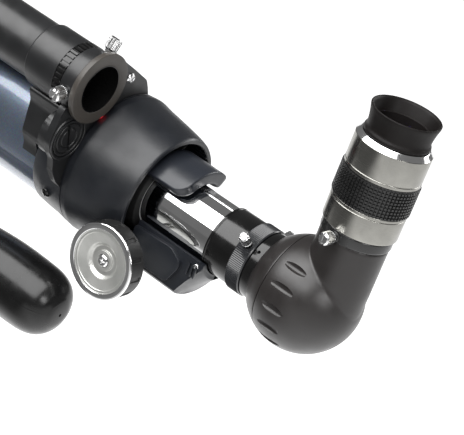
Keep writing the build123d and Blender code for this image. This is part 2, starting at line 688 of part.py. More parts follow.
with BuildPart() as finder_dial:
    drum(sight, dial_front, dial_rear, finder_r + 0.2, finder_groove_r + 0.1)
    ridges = Plane(origin=sight.origin + sight.x_dir * (dial_front - 0.5),
                   x_dir=sight.y_dir, z_dir=sight.x_dir)
    with BuildSketch(ridges):
        with PolarLocations(finder_r + 0.2, 38):
            Rectangle(1.0, 1.4)
    extrude(amount=dial_rear - dial_front + 1, mode=Mode.SUBTRACT)
save(finder_dial, "finder_dial")

with BuildPart() as finder_window:
    drum(sight, -160, -158, 14.95)
save(finder_window, "finder_window")

for label, side in (("finder_screw_left", 1), ("finder_screw_right", -1)):
    thumbscrew(label, finder_screw_spindle(side), 15.8, finder_r, 26.0, 3.6)

with BuildPart() as battery_cover:
    drum(pocket, 6.0, 9.6, cover_r)
    with Locations(Plane(origin=pocket.origin + pocket.x_dir * 9.6, x_dir=pocket.y_dir,
                         z_dir=pocket.x_dir)):
        Box(17.0, 1.3, 2.0, mode=Mode.SUBTRACT)
save(battery_cover, "battery_cover")

with BuildPart() as coin_cell:
    drum(pocket, 2.8, 5.8, 8.0)
save(coin_cell, "coin_cell")

with BuildPart() as finder_led:
    led = spindle(finder_point(1.0, flange_y, 41.95), (0, 1, 0), finder_up)
    turn(led, [(0, 0), (2.6, 0), (2.4, 0.8), (1.6, 1.4), (0, 1.5)])
save(finder_led, "finder_led")

# ---------------------------------------------------------------- dovetail and screws
bar_section = [(-22.0, bar_low), (22.0, bar_low), (22.0, bar_low + 2.0), (18.6, bar_top), (-18.6, bar_top),
               (-22.0, bar_low + 2.0)]
foot_stations = (-45.0, 45.0)
with BuildPart() as dovetail_bar:
    extrude(cross_face(bar_section, -collar_y + bar_half), amount=2 * bar_half)
    for station in foot_stations:
        block((-14, -collar_y + station - 9, bar_top - 0.5), (14, -collar_y + station + 9, -30))
    drum(optic, -420, -240, tube_r, mode=Mode.SUBTRACT)
    for station in foot_stations:
        bolt = spindle((0, station, axis_z), (0, 0, 1), (0, 1, 0))
        drum(bolt, bar_low - 1, -30, 3.0, mode=Mode.SUBTRACT)
        drum(bolt, bar_low - 1, bar_low + 5.0, 5.2, mode=Mode.SUBTRACT)
save(dovetail_bar, "dovetail_bar")

with BuildPart() as housing_screws:
    for angle in cell_screw_angles:
        way = (cos(radians(angle)), 0, sin(radians(angle)))
        bolt = spindle((0, collar_y + cell_screw_y, axis_z), way, (0, 1, 0))
        drum(bolt, tube_r + 0.05, 39.3, 1.5)
        turn(bolt, [(39.2, 0), (40.7, 0), (40.4, 1.6), (39.7, 2.7), (39.2, 2.8)])
    for side in (-1, 1):
        drum(cap_spindle(side), -chin_bottom_r + 1.0, -28, 1.25)
        drum(cap_spindle(side), -chin_bottom_r + 0.7, -chin_bottom_r + 1.6, 2.4)
    for station in foot_stations:
        bolt = spindle((0, station, axis_z), (0, 0, 1), (0, 1, 0))
        drum(bolt, bar_low + 1.5, bar_low + 5.0, 5.0)
        drum(bolt, bar_low + 4.0, -tube_r - 0.3, 3.0)
    drum(bracket_bolt, flange_y - 3.9, flange_y, 1.7)
    turn(bracket_bolt, [(flange_y, 0), (flange_y + 1.6, 0), (flange_y + 1.3, 2.0), (flange_y, 2.9)])
save(housing_screws, "housing_screws")

# ---------------------------------------------------------------- pan head
with BuildPart() as head_base:
    turn(pan, [(head_low, 0), (head_low, head_r - 2), (head_low + 2, head_r), (turn_low - gap - 1, head_r),
               (turn_low - gap, head_r - 1), (turn_low - gap, 10.0 - fit), (turn_top - 1, 10.0 - fit),
               (turn_top, 9.0), (turn_top, 0)])
    drum(pan, head_low - 1, head_low + 12, 3.97, mode=Mode.SUBTRACT)
save(head_base, "head_base")

lock_z = (turn_top + turn_low) / 2
lock = spindle((0, 0, axis_z + lock_z), (-1, 0, 0), (0, 0, 1))
with BuildPart() as head_yoke:
    turn(pan, [(turn_low, 10.0), (turn_low, head_r - 1), (turn_low + 1, head_r), (turn_top - 2, head_r),
               (turn_top, head_r - 2), (turn_top, 10.0)])
    for side in (-1, 1):
        low = min(side * cheek_in, side * cheek_out)
        cheek = Plane(origin=(low, 0, axis_z), x_dir=(0, 1, 0), z_dir=(1, 0, 0))
        with BuildSketch(cheek):
            with BuildLine():
                Line((-13, turn_top - 4), (13, turn_top - 4))
                Line((13, turn_top - 4), (12, tilt_z))
                ThreePointArc((12, tilt_z), (0, tilt_z + 12), (-12, tilt_z))
                Line((-12, tilt_z), (-13, turn_top - 4))
            make_face()
        extrude(amount=cheek_out - cheek_in)
    drum(tilt, -30, 30, 5.0 + fit, mode=Mode.SUBTRACT)
    drum(pan, turn_low - 1, turn_top + 1, 10.0, mode=Mode.SUBTRACT)
    drum(lock, 8, 30, shaft_r + fit, mode=Mode.SUBTRACT)
save(head_yoke, "head_yoke")


def star_knob(name, plane, tip, start, end, radius, lobes):
    """Screw knob: shank, boss and a scalloped head."""
    with BuildPart() as knob:
        drum(plane, tip, start + 1, shaft_r)
        drum(plane, start, start + 4, radius * 0.62)
        drum(plane, start + 3, end, radius)
        rim = Plane(origin=plane.origin + plane.x_dir * (start + 3), x_dir=plane.y_dir, z_dir=plane.x_dir)
        with BuildSketch(rim):
            with PolarLocations(radius + 2.4, lobes):
                Circle(3.6)
        extrude(amount=end - start, mode=Mode.SUBTRACT)
    save(knob, name)


star_knob("azimuth_lock_knob", lock, 10.4, head_r + 0.6, head_r + 15.0, 11.0, 6)

clamp = spindle((0, 0, axis_z - 47.5), (-1, 0, 0), (0, 0, 1))
jaw_x = 32.0
rod_r = 5.0
with BuildPart() as tilt_platform:
    extrude(cross_face([(-jaw_x, platform_low), (jaw_x, platform_low), (jaw_x, -42.0), (-jaw_x, -42.0)],
                       -collar_y + platform_half), amount=2 * platform_half)
    slot_section = [(-22.0 - gap, bar_low - gap), (22.0 + gap, bar_low - gap), (22.0 + gap, bar_low + 2.0),
                    (18.6 + gap, bar_top), (-18.6 - gap, bar_top), (-22.0 - gap, bar_low + 2.0)]
    extrude(cross_face(slot_section, -collar_y + platform_half + 1), amount=2 * platform_half + 2,
            mode=Mode.SUBTRACT)
    lug_plane = Plane(origin=(-cheek_in + gap, 0, axis_z), x_dir=(0, 1, 0), z_dir=(1, 0, 0))
    with BuildSketch(lug_plane):
        with BuildLine():
            Line((13, platform_low + 1), (-13, platform_low + 1))
            Line((-13, platform_low + 1), (-12, tilt_z))
            ThreePointArc((-12, tilt_z), (0, tilt_z - 12), (12, tilt_z))
            Line((12, tilt_z), (13, platform_low + 1))
        make_face()
    extrude(amount=2 * (cheek_in - gap))
    boss = spindle((handle_x, 0, axis_z + handle_z), (0, 1, 0), (0, 0, 1))
    drum(boss, -20, 14, 11.0)
    block((20, -collar_y - 20, platform_low - 6), (handle_x, -collar_y + 14, platform_low + 8))
    drum(boss, -12, 16, rod_r + fit, mode=Mode.SUBTRACT)
    drum(tilt, -30, 30, 5.0, mode=Mode.SUBTRACT)
    drum(clamp, 18, 36, shaft_r + fit, mode=Mode.SUBTRACT)
save(tilt_platform, "tilt_platform")

with BuildPart() as altitude_pin:
    drum(tilt, -cheek_out - gap, cheek_out + gap, 5.0)
    for side in (-1, 1):
        end_plane = spindle(tilt.origin, (side, 0, 0), (0, 0, 1))
        turn(end_plane, [(cheek_out + gap, 0), (cheek_out + 4.3, 0), (cheek_out + 4.3, 7.2),
                         (cheek_out + 3.3, 8.2),
                         (cheek_out + gap, 8.2)])
save(altitude_pin, "altitude_pin")

star_knob("clamp_knob", clamp, 22.3, jaw_x + 0.6, jaw_x + 17.0, 12.0, 6)

rod_end = -collar_y - 11.5
with BuildPart() as handle_rod:
    drum(grip, rod_end, -120, rod_r)
    drum(grip, -collar_y + 14.6, -collar_y + 22, 9.0)
save(handle_rod, "handle_rod")

with BuildPart() as handle_grip:
    turn(grip, [(-196, rod_r), (-196, 10.5), (-192, 12.0), (-168, 13.6), (-140, 15.4), (-104, 18.6),
                (-80, handle_r),
                (-66, 19.0), (-57, 16.0), (-52.0, 10.5), (-50.2, 4.0), (-50.0, 0), (-120, 0),
                (-120, rod_r)])
save(handle_grip, "handle_grip")
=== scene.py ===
"""Looks for the refractor telescope: pieces, materials, floor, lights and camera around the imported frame."""
import json
from math import atan2, cos, degrees, hypot, pi, radians, sin, sqrt
import bmesh
import bpy
from mathutils import Matrix, Vector


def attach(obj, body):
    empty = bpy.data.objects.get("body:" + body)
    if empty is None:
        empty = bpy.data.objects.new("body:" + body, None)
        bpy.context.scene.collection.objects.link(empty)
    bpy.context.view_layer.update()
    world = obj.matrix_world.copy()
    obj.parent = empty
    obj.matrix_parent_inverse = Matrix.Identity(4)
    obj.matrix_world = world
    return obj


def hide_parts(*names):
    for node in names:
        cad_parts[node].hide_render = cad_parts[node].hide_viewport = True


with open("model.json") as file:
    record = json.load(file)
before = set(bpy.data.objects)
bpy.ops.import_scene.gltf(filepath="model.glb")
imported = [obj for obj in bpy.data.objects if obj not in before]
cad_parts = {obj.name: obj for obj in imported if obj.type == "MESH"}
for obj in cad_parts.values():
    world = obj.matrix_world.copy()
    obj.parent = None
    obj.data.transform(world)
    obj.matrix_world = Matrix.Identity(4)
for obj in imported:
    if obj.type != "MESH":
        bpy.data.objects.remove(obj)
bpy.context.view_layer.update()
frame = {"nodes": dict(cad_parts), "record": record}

MM = 0.001
AXIS_Z = 150.0
COLLAR_Y = 330.0
TUBE_R = 37.0
DRAWTUBE_R = 17.1
EYE_Y = 65.6
BALL_LIFT = 0.3
SIGHT_HEIGHT = 64
RING_SCREW_Y = 20.3
RING_SCREW_ANGLES = {"adapter_screw_left": 41.0, "adapter_screw_right": 161.0}
RACK_SLOT_HALF = 4.4
SHAFT_BORE = 3.05


# ---------------------------------------------------------------- placing
def at(x, y, z):
    """Point in metres from millimetres measured at the drawtube collar's front centre."""
    return Vector((x, y + COLLAR_Y, z + AXIS_Z)) * MM


class Spindle:
    """A turning axis: stations run along it, radii stand off it, angles start at its zero direction."""

    def __init__(self, origin, along, zero):
        self.origin = Vector(origin)
        self.along = Vector(along).normalized()
        self.zero = (Vector(zero) - self.along * self.along.dot(Vector(zero))).normalized()
        self.side = self.along.cross(self.zero)

    def point(self, station, radius, angle=0.0):
        """Point in metres at a station and a radius in millimetres."""
        way = self.zero * cos(angle) + self.side * sin(angle)
        return self.origin + (self.along * station + way * radius) * MM


def ring_way(angle):
    """Unit vector across the tube at an angle from its left side."""
    return Vector((cos(radians(angle)), 0, sin(radians(angle))))


FINDER_UP = ring_way(52.5)
FINDER_SIDE = Vector((FINDER_UP.z, 0, -FINDER_UP.x))
OPTIC = Spindle(at(0, 0, 0), (0, 1, 0), (1, 0, 0))
EYE = Spindle(at(0, EYE_Y, 0), (0, 0, 1), (1, 0, 0))
BALL = Spindle(at(0, 0, BALL_LIFT), (0, 1, 0), (1, 0, 0))
GRIP = Spindle(at(45, 0, -68), (0, 1, 0), (1, 0, 0))
SIGHT = Spindle(at(0, 0, 0) + FINDER_UP * SIGHT_HEIGHT * MM, (0, 1, 0), FINDER_SIDE)
PINION_CENTRE = at(0, -37, -26.1)
PINION = Spindle(PINION_CENTRE, (1, 0, 0), (0, 1, 0))


def finder_at(side, station, height):
    """Point in metres from sideways, lengthways and outward distances at the finder."""
    return at(0, station, 0) + (FINDER_SIDE * side + FINDER_UP * height) * MM


BOLT = Spindle(finder_at(-22.5, 0, 47.7), (0, 1, 0), FINDER_UP)


# ---------------------------------------------------------------- meshes
def shaded(mesh, sharp):
    """Smooth shading that stops at edges sharper than an angle in degrees."""
    mesh.polygons.foreach_set("use_smooth", [True] * len(mesh.polygons))
    mesh.set_sharp_from_angle(angle=radians(sharp))


def new_piece(name, verts, faces, sharp=40.0):
    """Mesh object with outward faces and smooth shading that stops at sharp edges."""
    mesh = bpy.data.meshes.new(name)
    mesh.from_pydata([tuple(v) for v in verts], [], faces)
    work = bmesh.new()
    work.from_mesh(mesh)
    bmesh.ops.recalc_face_normals(work, faces=work.faces)
    work.to_mesh(mesh)
    work.free()
    shaded(mesh, sharp)
    piece = bpy.data.objects.new(name, mesh)
    bpy.context.scene.collection.objects.link(piece)
    return piece


def soften(points, reach, steps=3, closed=True):
    """Outline with rounded corners; a third value on a point sets that corner's own reach."""
    result = []
    count = len(points)
    for index, corner in enumerate(points):
        here = Vector(corner[:2])
        amount = corner[2] if len(corner) > 2 else reach
        if amount <= 0 or (not closed and index in (0, count - 1)):
            result.append(tuple(here))
            continue
        back = Vector(points[index - 1][:2]) - here
        ahead = Vector(points[(index + 1) % count][:2]) - here
        trim = min(amount, back.length * 0.45, ahead.length * 0.45)
        start = here + back.normalized() * trim
        end = here + ahead.normalized() * trim
        for step in range(steps + 1):
            f = step / steps
            mixed = start * (1 - f) ** 2 + here * 2 * f * (1 - f) + end * f ** 2
            result.append(tuple(mixed))
    return result


def flowing(points, per=6):
    """Smooth line through the points."""
    result = []
    for index in range(len(points) - 1):
        p0 = Vector(points[max(index - 1, 0)])
        p1 = Vector(points[index])
        p2 = Vector(points[index + 1])
        p3 = Vector(points[min(index + 2, len(points) - 1)])
        for step in range(per):
            t = step / per
            spot = 0.5 * (2 * p1 + (p2 - p0) * t + (2 * p0 - 5 * p1 + 4 * p2 - p3) * t ** 2
                          + (3 * p1 - p0 - 3 * p2 + p3) * t ** 3)
            result.append(tuple(spot))
    result.append(tuple(points[-1]))
    return result


def lathe(name, spin, profile, segments=128, closed=True, relief=None, sharp=40.0):
    """Turn a profile of (station, radius) about a spindle; relief adds to the radius."""
    verts = []
    rows = []
    for station, radius in profile:
        if radius < 1e-6:
            rows.append([len(verts)] * segments)
            verts.append(spin.point(station, 0))
            continue
        row = []
        for step in range(segments):
            angle = 2 * pi * step / segments
            extra = relief(station, radius, angle) if relief else 0.0
            row.append(len(verts))
            verts.append(spin.point(station, radius + extra, angle))
        rows.append(row)
    faces = []
    pairs = list(zip(rows, rows[1:]))
    if closed:
        pairs.append((rows[-1], rows[0]))
    for low, high in pairs:
        for step in range(segments):
            after = (step + 1) % segments
            loop = [low[step], low[after], high[after], high[step]]
            face = [v for n, v in enumerate(loop) if v != loop[n - 1]]
            if len(set(face)) > 2:
                faces.append(face)
    return new_piece(name, verts, faces, sharp)


def prism(name, origin, right, up, outline, depth, bevel=0.4, segments=3, taper=None):
    """Outline in millimetres on a plane, carried along its normal, with bevelled edges."""
    right, up = Vector(right).normalized(), Vector(up).normalized()
    normal = right.cross(up)
    far = taper or outline
    verts = [Vector(origin) + (right * a + up * b) * MM for a, b in outline]
    verts += [Vector(origin) + (right * a + up * b + normal * depth) * MM for a, b in far]
    count = len(outline)
    faces = [list(range(count))[::-1], list(range(count, 2 * count))]
    for index in range(count):
        after = (index + 1) % count
        faces.append([index, after, after + count, index + count])
    piece = new_piece(name, verts, faces)
    if bevel:
        add_bevel(piece, bevel, segments)
    return piece


def drawn_back(piece, way, distance):
    """Move a prism back by a distance in millimetres if its depth runs along a direction."""
    corners = piece.data.vertices
    if (corners[len(corners) // 2].co - corners[0].co).dot(way) > 0:
        for corner in corners:
            corner.co -= way * distance * MM
    return piece


def apply_modifiers(piece):
    """Turn a piece's modifiers into its mesh."""
    bpy.context.view_layer.update()
    evaluated = piece.evaluated_get(bpy.context.evaluated_depsgraph_get())
    mesh = bpy.data.meshes.new_from_object(evaluated)
    old = piece.data
    piece.modifiers.clear()
    piece.data = mesh
    bpy.data.meshes.remove(old)
    return piece


def add_bevel(piece, width, segments=3, angle=30.0):
    """Bevel the sharp edges and apply it."""
    modifier = piece.modifiers.new("bevel", "BEVEL")
    modifier.width = width * MM
    modifier.segments = segments
    modifier.limit_method = "ANGLE"
    modifier.angle_limit = radians(angle)
    modifier.harden_normals = False
    modifier.use_clamp_overlap = True
    apply_modifiers(piece)
    shaded(piece.data, 50)
    return piece


def cut(piece, cutters, mode="DIFFERENCE"):
    """Boolean with other pieces, which are then removed."""
    for cutter in cutters:
        modifier = piece.modifiers.new("cut", "BOOLEAN")
        modifier.operation = mode
        modifier.solver = "EXACT"
        modifier.object = cutter
    apply_modifiers(piece)
    for cutter in cutters:
        bpy.data.objects.remove(cutter)
    shaded(piece.data, 38)
    return piece


def joined(name, pieces):
    """One object from several."""
    work = bmesh.new()
    for piece in pieces:
        work.from_mesh(piece.data)
    mesh = bpy.data.meshes.new(name)
    work.to_mesh(mesh)
    work.free()
    for piece in pieces:
        bpy.data.objects.remove(piece)
    shaded(mesh, 38)
    result = bpy.data.objects.new(name, mesh)
    bpy.context.scene.collection.objects.link(result)
    return result


def place(piece, body, slot, material, *nodes):
    """Give a piece its material and body and hide the CAD nodes it stands for."""
    piece.data.materials.clear()
    piece.data.materials.append(material)
    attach(piece, body)
    if nodes:
        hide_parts(*nodes)
    return piece


# ---------------------------------------------------------------- materials
class Paint:
    """A principled material and short ways to wire its noise."""

    def __init__(self, name):
        self.material = bpy.data.materials.new(name)
        self.material.use_nodes = True
        self.tree = self.material.node_tree
        self.shader = self.tree.nodes["Principled BSDF"]
        self.place = self.tree.nodes.new("ShaderNodeTexCoord").outputs["Object"]

    def set(self, **values):
        """Constants on the shader's own sockets."""
        for key, value in values.items():
            self.shader.inputs[key.replace("_", " ")].default_value = value

    def node(self, kind, **values):
        """New node with constants on its inputs."""
        node = self.tree.nodes.new(kind)
        for key, value in values.items():
            node.inputs[key.replace("_", " ")].default_value = value
        return node

    def link(self, output, socket):
        """Wire an output to an input."""
        self.tree.links.new(output, socket)

    def stretch(self, scale, location=(0, 0, 0)):
        """Object coordinates, scaled and shifted."""
        node = self.node("ShaderNodeMapping", Scale=scale, Location=location)
        self.link(self.place, node.inputs["Vector"])
        return node.outputs["Vector"]

    def noise(self, scale, detail=3.0, vector=None):
        """Noise height."""
        node = self.node("ShaderNodeTexNoise", Scale=scale, Detail=detail, Roughness=0.55)
        self.link(vector or self.place, node.inputs["Vector"])
        return node.outputs["Fac"]

    def cells(self, scale):
        """Colour of small random cells."""
        node = self.node("ShaderNodeTexVoronoi", Scale=scale)
        self.link(self.place, node.inputs["Vector"])
        return node.outputs["Color"]

    def ramp(self, source, stops):
        """Colours along a value."""
        node = self.tree.nodes.new("ShaderNodeValToRGB")
        bar = node.color_ramp.elements
        while len(bar) < len(stops):
            bar.new(0.5)
        for element, (spot, colour) in zip(bar, stops):
            element.position = spot
            element.color = (*colour, 1.0)
        self.link(source, node.inputs["Fac"])
        return node.outputs["Color"]

    def span(self, source, low, high, from_low=0.3, from_high=0.7):
        """A value carried to another range."""
        node = self.node("ShaderNodeMapRange", From_Min=from_low, From_Max=from_high, To_Min=low,
                         To_Max=high)
        self.link(source, node.inputs["Value"])
        return node.outputs["Result"]

    def colour(self, output):
        """Link the base colour."""
        self.link(output, self.shader.inputs["Base Color"])

    def roughness(self, output):
        """Link the roughness."""
        self.link(output, self.shader.inputs["Roughness"])

    def bump(self, height, strength, distance):
        """Bump on the shader."""
        node = self.node("ShaderNodeBump", Strength=strength, Distance=distance)
        self.link(height, node.inputs["Height"])
        self.link(node.outputs["Normal"], self.shader.inputs["Normal"])


def plastic(name, dark, light, rough, grain=2600.0, depth=0.25, coat=0.0, blotch=60.0, specular=0.5):
    """Moulded plastic: faint blotches of tone, a fine spark-eroded grain and uneven gloss."""
    paint = Paint(name)
    paint.colour(paint.ramp(paint.noise(blotch, 4), [(0.3, dark), (0.7, light)]))
    fine = paint.noise(grain, 2)
    paint.roughness(paint.span(paint.noise(blotch * 2.3, 4), rough - 0.05, rough + 0.06))
    paint.bump(fine, depth, 0.00006)
    paint.set(Specular_IOR_Level=specular, Coat_Weight=coat, Coat_Roughness=0.12)
    return paint.material


def metal(name, dark, light, rough, spread, lines, depth):
    """Metal with tone variation, fine scratches along a stretch, and uneven polish."""
    paint = Paint(name)
    vector = paint.stretch(lines) if lines else None
    streak = paint.noise(1.0 if lines else 900.0, 3, vector)
    paint.colour(paint.ramp(paint.noise(140.0, 4), [(0.3, dark), (0.7, light)]))
    paint.roughness(paint.span(streak, rough, rough + spread))
    paint.bump(streak, depth, 0.00003)
    paint.set(Metallic=1.0, Coat_Roughness=0.05)
    return paint.material


def grey(value, tint=0.0):
    """Grey with a little blue in it."""
    return (value, value + tint * 0.3, value + tint)


def tube_paint_material():
    """Navy metallic lacquer: flakes under a clear coat, with slight orange peel."""
    paint = Paint("navy_lacquer")
    flakes = paint.cells(5200.0)
    tone = paint.ramp(paint.noise(30.0, 3), [(0.3, (0.105, 0.130, 0.175)), (0.7, (0.130, 0.160, 0.215))])
    mix = paint.tree.nodes.new("ShaderNodeMix")
    mix.data_type = "RGBA"
    mix.blend_type = "OVERLAY"
    mix.inputs["Factor"].default_value = 0.5
    paint.link(tone, mix.inputs["A"])
    paint.link(flakes, mix.inputs["B"])
    paint.colour(mix.outputs["Result"])
    paint.roughness(paint.span(paint.noise(4200.0, 2), 0.30, 0.42))
    paint.bump(paint.noise(700.0, 2), 0.05, 0.0001)
    paint.set(Metallic=0.75, Coat_Weight=1.0, Coat_Roughness=0.08, Coat_IOR=1.55)
    return paint.material


def machined(name, dark, light, rough, centre, axis, pitch):
    """Turned metal: fine rings round an axis through a centre, with tone that drifts."""
    paint = Paint(name)
    shift = paint.stretch((1, 1, 1), location=[-c for c in centre])
    node = paint.node("ShaderNodeTexWave", Scale=1.0 / pitch, Distortion=1.4, Detail=2.0, Detail_Scale=0.6)
    node.wave_type = "RINGS"
    node.rings_direction = axis
    paint.link(shift, node.inputs["Vector"])
    paint.colour(paint.ramp(paint.noise(90.0, 4), [(0.3, dark), (0.7, light)]))
    paint.roughness(paint.span(node.outputs["Fac"], rough, rough + 0.12, 0.0, 1.0))
    paint.bump(node.outputs["Fac"], 0.10, 0.00004)
    paint.set(Metallic=0.75)
    return paint.material


def glass_material(name, tint):
    """Coated optical glass."""
    paint = Paint(name)
    paint.colour(paint.ramp(paint.noise(50.0, 2), [(0.3, tint),
                                                   (0.7, tuple(min(1, c * 1.04) for c in tint))]))
    paint.roughness(paint.span(paint.noise(400.0, 2), 0.0, 0.02))
    paint.set(IOR=1.52, Transmission_Weight=0.9, Coat_Weight=0.6, Coat_Tint=(0.75, 0.6, 1.0, 1.0))
    return paint.material


def lit_plastic(name, dark, light, glow, strength):
    """Plastic that glows as with a lamp behind it."""
    material = plastic(name, dark, light, 0.2, 1500, 0.05, 0.8)
    shader = material.node_tree.nodes["Principled BSDF"]
    shader.inputs["Emission Color"].default_value = (*glow, 1.0)
    shader.inputs["Emission Strength"].default_value = strength
    return material


MAT = {
    "tube": tube_paint_material(),
    "cell": plastic("cell_plastic", grey(0.0055, 0.003), grey(0.0085, 0.0045), 0.37, 2400, 0.45, blotch=45),
    "housing": plastic("housing_plastic", grey(0.007, 0.004), grey(0.010, 0.005), 0.33, 2600, 0.22),
    "finder": plastic("finder_plastic", grey(0.006, 0.0005), grey(0.009, 0.001), 0.35, 2600, 0.28),
    "inside": plastic("matt_black", grey(0.004), grey(0.007), 0.70, 2000, 0.3, specular=0.25),
    # A lighter, warmer copy of the finder plastic for the rear ring: painted light on the face that catches
    # the lamps.
    "ring": plastic("finder_ring_painted_lit", (0.030, 0.026, 0.022), (0.038, 0.033, 0.028), 0.42, 2600, 0.3),
    "tongue": plastic("tongue_plastic", grey(0.010, 0.006), grey(0.014, 0.008), 0.33, 2600, 0.15),
    "knurl": plastic("knurled_black", grey(0.010, 0.002), grey(0.016, 0.003), 0.30, 2200, 0.1, coat=0.2),
    "socket": plastic("socket_plastic", grey(0.008), grey(0.012), 0.25, 2400, 0.12, coat=0.2),
    "ball": plastic("diagonal_plastic", (0.0120, 0.0104, 0.0100), (0.0155, 0.0135, 0.0130),
                    0.35, 2800, 0.2),
    "gloss": plastic("gloss_black", grey(0.003), grey(0.005), 0.15, 1800, 0.04, coat=0.1, specular=0.4),
    "chrome": metal("mirror_chrome", grey(0.80), grey(0.86), 0.02, 0.03, (3000, 14, 3000), 0.015),
    "steel": metal("plated_steel", grey(0.72), grey(0.80), 0.10, 0.10, None, 0.10),
    "silver": machined("satin_silver", (0.42, 0.425, 0.405), (0.53, 0.53, 0.51),
                       0.29, PINION_CENTRE, "X", 0.00045),
    "gunmetal": metal("gunmetal", (0.28, 0.275, 0.255), (0.34, 0.335, 0.31), 0.20, 0.08, (40, 40, 9000),
                      0.05),
    "bright": metal("bright_turned", grey(0.80), grey(0.88), 0.08, 0.06, (40, 40, 9000), 0.03),
    "rubber": plastic("grip_rubber", grey(0.004), grey(0.007), 0.34, 3200, 0.30, specular=0.6),
    "cup_rubber": plastic("cup_rubber", (0.0035, 0.0027, 0.0025), (0.0060, 0.0048, 0.0045), 0.50, 3000, 0.3,
                          specular=0.17),
    "knob_rubber": plastic("knob_rubber", grey(0.008), grey(0.013), 0.44, 1800, 0.4, specular=0.45),
    "anodised": metal("black_anodised", grey(0.03), grey(0.045), 0.30, 0.1, (2000, 30, 2000), 0.05),
    "brass": metal("rack_brass", (0.55, 0.40, 0.16), (0.68, 0.50, 0.22), 0.22, 0.1, None, 0.08),
    "liner": plastic("slide_liner", grey(0.50), grey(0.60), 0.45, 1800, 0.15),
    "handle": plastic("handle_plastic", grey(0.003), grey(0.006), 0.24, 2200, 0.10, specular=0.38),
    "head": plastic("head_paint", grey(0.012), grey(0.018), 0.42, 1500, 0.45, coat=0.1),
    "led": lit_plastic("red_led", (0.55, 0.004, 0.010), (0.75, 0.008, 0.02), (1.0, 0.01, 0.03), 0.7),
    "glass": glass_material("optical_glass", (0.80, 0.86, 0.92)),
}
SLOT_MATERIAL = {
    "tube_paint": "tube", "matt_black": "inside", "cell_plastic": "cell", "housing_plastic": "housing",
    "finder_plastic": "finder", "optical_glass": "glass", "plated_steel": "steel", "slide_liner": "liner",
    "black_anodised": "anodised", "red_led": "led", "mirror_chrome": "chrome", "rack_brass": "brass",
    "gloss_black": "gloss", "satin_silver": "silver", "rubber": "rubber", "diagonal_plastic": "ball",
    "gunmetal": "gunmetal", "head_paint": "head", "handle_plastic": "handle",
}
slot_of = {item["node"]: item["material_slot"] for item in frame["record"]["subparts"]}
for node_name, node in frame["nodes"].items():
    node.data.materials.clear()
    node.data.materials.append(MAT[SLOT_MATERIAL[slot_of[node_name]]])


def turned(name, spin, profile, body, slot, material, nodes=(),
           segments=160, reach=0.3, relief=None, sharp=40.0):
    """Lathed piece with softened corners, placed."""
    piece = lathe(name, spin, soften(profile, reach), segments, True, relief, sharp)
    return place(piece, body, slot, MAT[material], *nodes)


def rod(spin, start, end, radius, segments=48):
    """Plain cylinder used as a boolean cutter."""
    return lathe("cutter", spin, [(start, 0), (start, radius), (end, radius), (end, 0)], segments, False)


def box(low, high):
    """Box between two corners, in millimetres from the collar's centre."""
    outline = [(low[0], low[2]), (high[0], low[2]), (high[0], high[2]), (low[0], high[2])]
    return prism("cutter", at(0, high[1], 0), (1, 0, 0), (0, 0, 1), outline, high[1] - low[1], 0)


def arc_points(centre, radius, start, end, steps):
    """Points on a circle between two angles in degrees."""
    turn_by = [radians(start + (end - start) * n / steps) for n in range(steps + 1)]
    return [(centre[0] + radius * cos(a), centre[1] + radius * sin(a)) for a in turn_by]


# ---------------------------------------------------------------- optical tube
turned("tube_skin", OPTIC, [(-800, 36.1), (-800, TUBE_R), (-74.05, TUBE_R), (-74.05, 36.1)], "optical_tube",
       "tube_paint", "tube", ("main_tube",), 224, 0.2)
turned("shade_skin", OPTIC, [(-786, 40.5), (-786, 42.4), (-788, 43.0), (-874, 43.0), (-875, 42.6),
                             (-876, 43.0),
                             (-879, 43.0), (-880, 42.0), (-880, 40.8), (-878, 41.0), (-800, 41.0),
                             (-800, 40.5)],
       "optical_tube", "tube_paint", "tube", ("dew_shield",), 192, 0.4)


def cell_teeth(station, radius, angle):
    """Shallow finger ridges round the front cell."""
    return 0.35 * max(0.0, cos(angle * 72)) if radius > 40.0 and -812 < station < -784 else 0.0


turned("front_cell_skin", OPTIC,
       [(-776, 37.05), (-776, 39.2), (-780, 40.0), (-784.2, 40.0), (-784.4, 40.05), (-811.6, 40.05),
        (-812, 40.0),
        (-816, 40.2), (-818, 39.4), (-828, 39.4), (-828, 36.2), (-803.6, 36.2), (-803.6, 35.0),
        (-800, 35.0),
        (-800, 37.05)], "optical_tube", "cell_plastic", "cell", ("front_cell",), 576, 0.3, cell_teeth)

cell_outer = flowing([(-79.0, 40.15), (-77.0, 40.3), (-75.0, 40.3), (-69.0, 39.2), (-61.0, 38.1),
                      (-53.0, 36.9),
                      (-46.0, 35.7), (-42.4, 34.75)], 4)


def cell_ribs(station, radius, angle):
    """Lengthwise ribs inside the hood."""
    inside = -69.5 < station < -42.5 and radius < 34.8
    return -0.55 if inside and (angle * 40 / (2 * pi)) % 1 < 0.3 else 0.0


hood_inner = [(-42.8 - 0.8 * n, 31.7 + 0.12 * n) for n in range(24)] + [(-62.4, 34.6), (-69.0, 34.6)]
rear_cell_profile = ([(-102, 37.05), (-102, 37.55), (-101.4, 37.95), (-94.0, 38.6), (-88.0, 38.95),
                      (-81.0, 39.9),
                      (-79.9, 40.0), (-79.7, 39.5), (-79.3, 39.5)] + cell_outer
                     + [(-41.7, 34.35), (-41.4, 33.9), (-41.4, 32.2), (-41.8, 31.75)] + hood_inner
                     + [(-69.9, 34.6), (-69.9, 33.0), (-74, 33.0), (-74, 37.05)])
hood = lathe("rear_cell_skin", OPTIC, rear_cell_profile, 400, True, cell_ribs, 32.0)
place(hood, "optical_tube", "cell_plastic", MAT["cell"], "rear_cell")

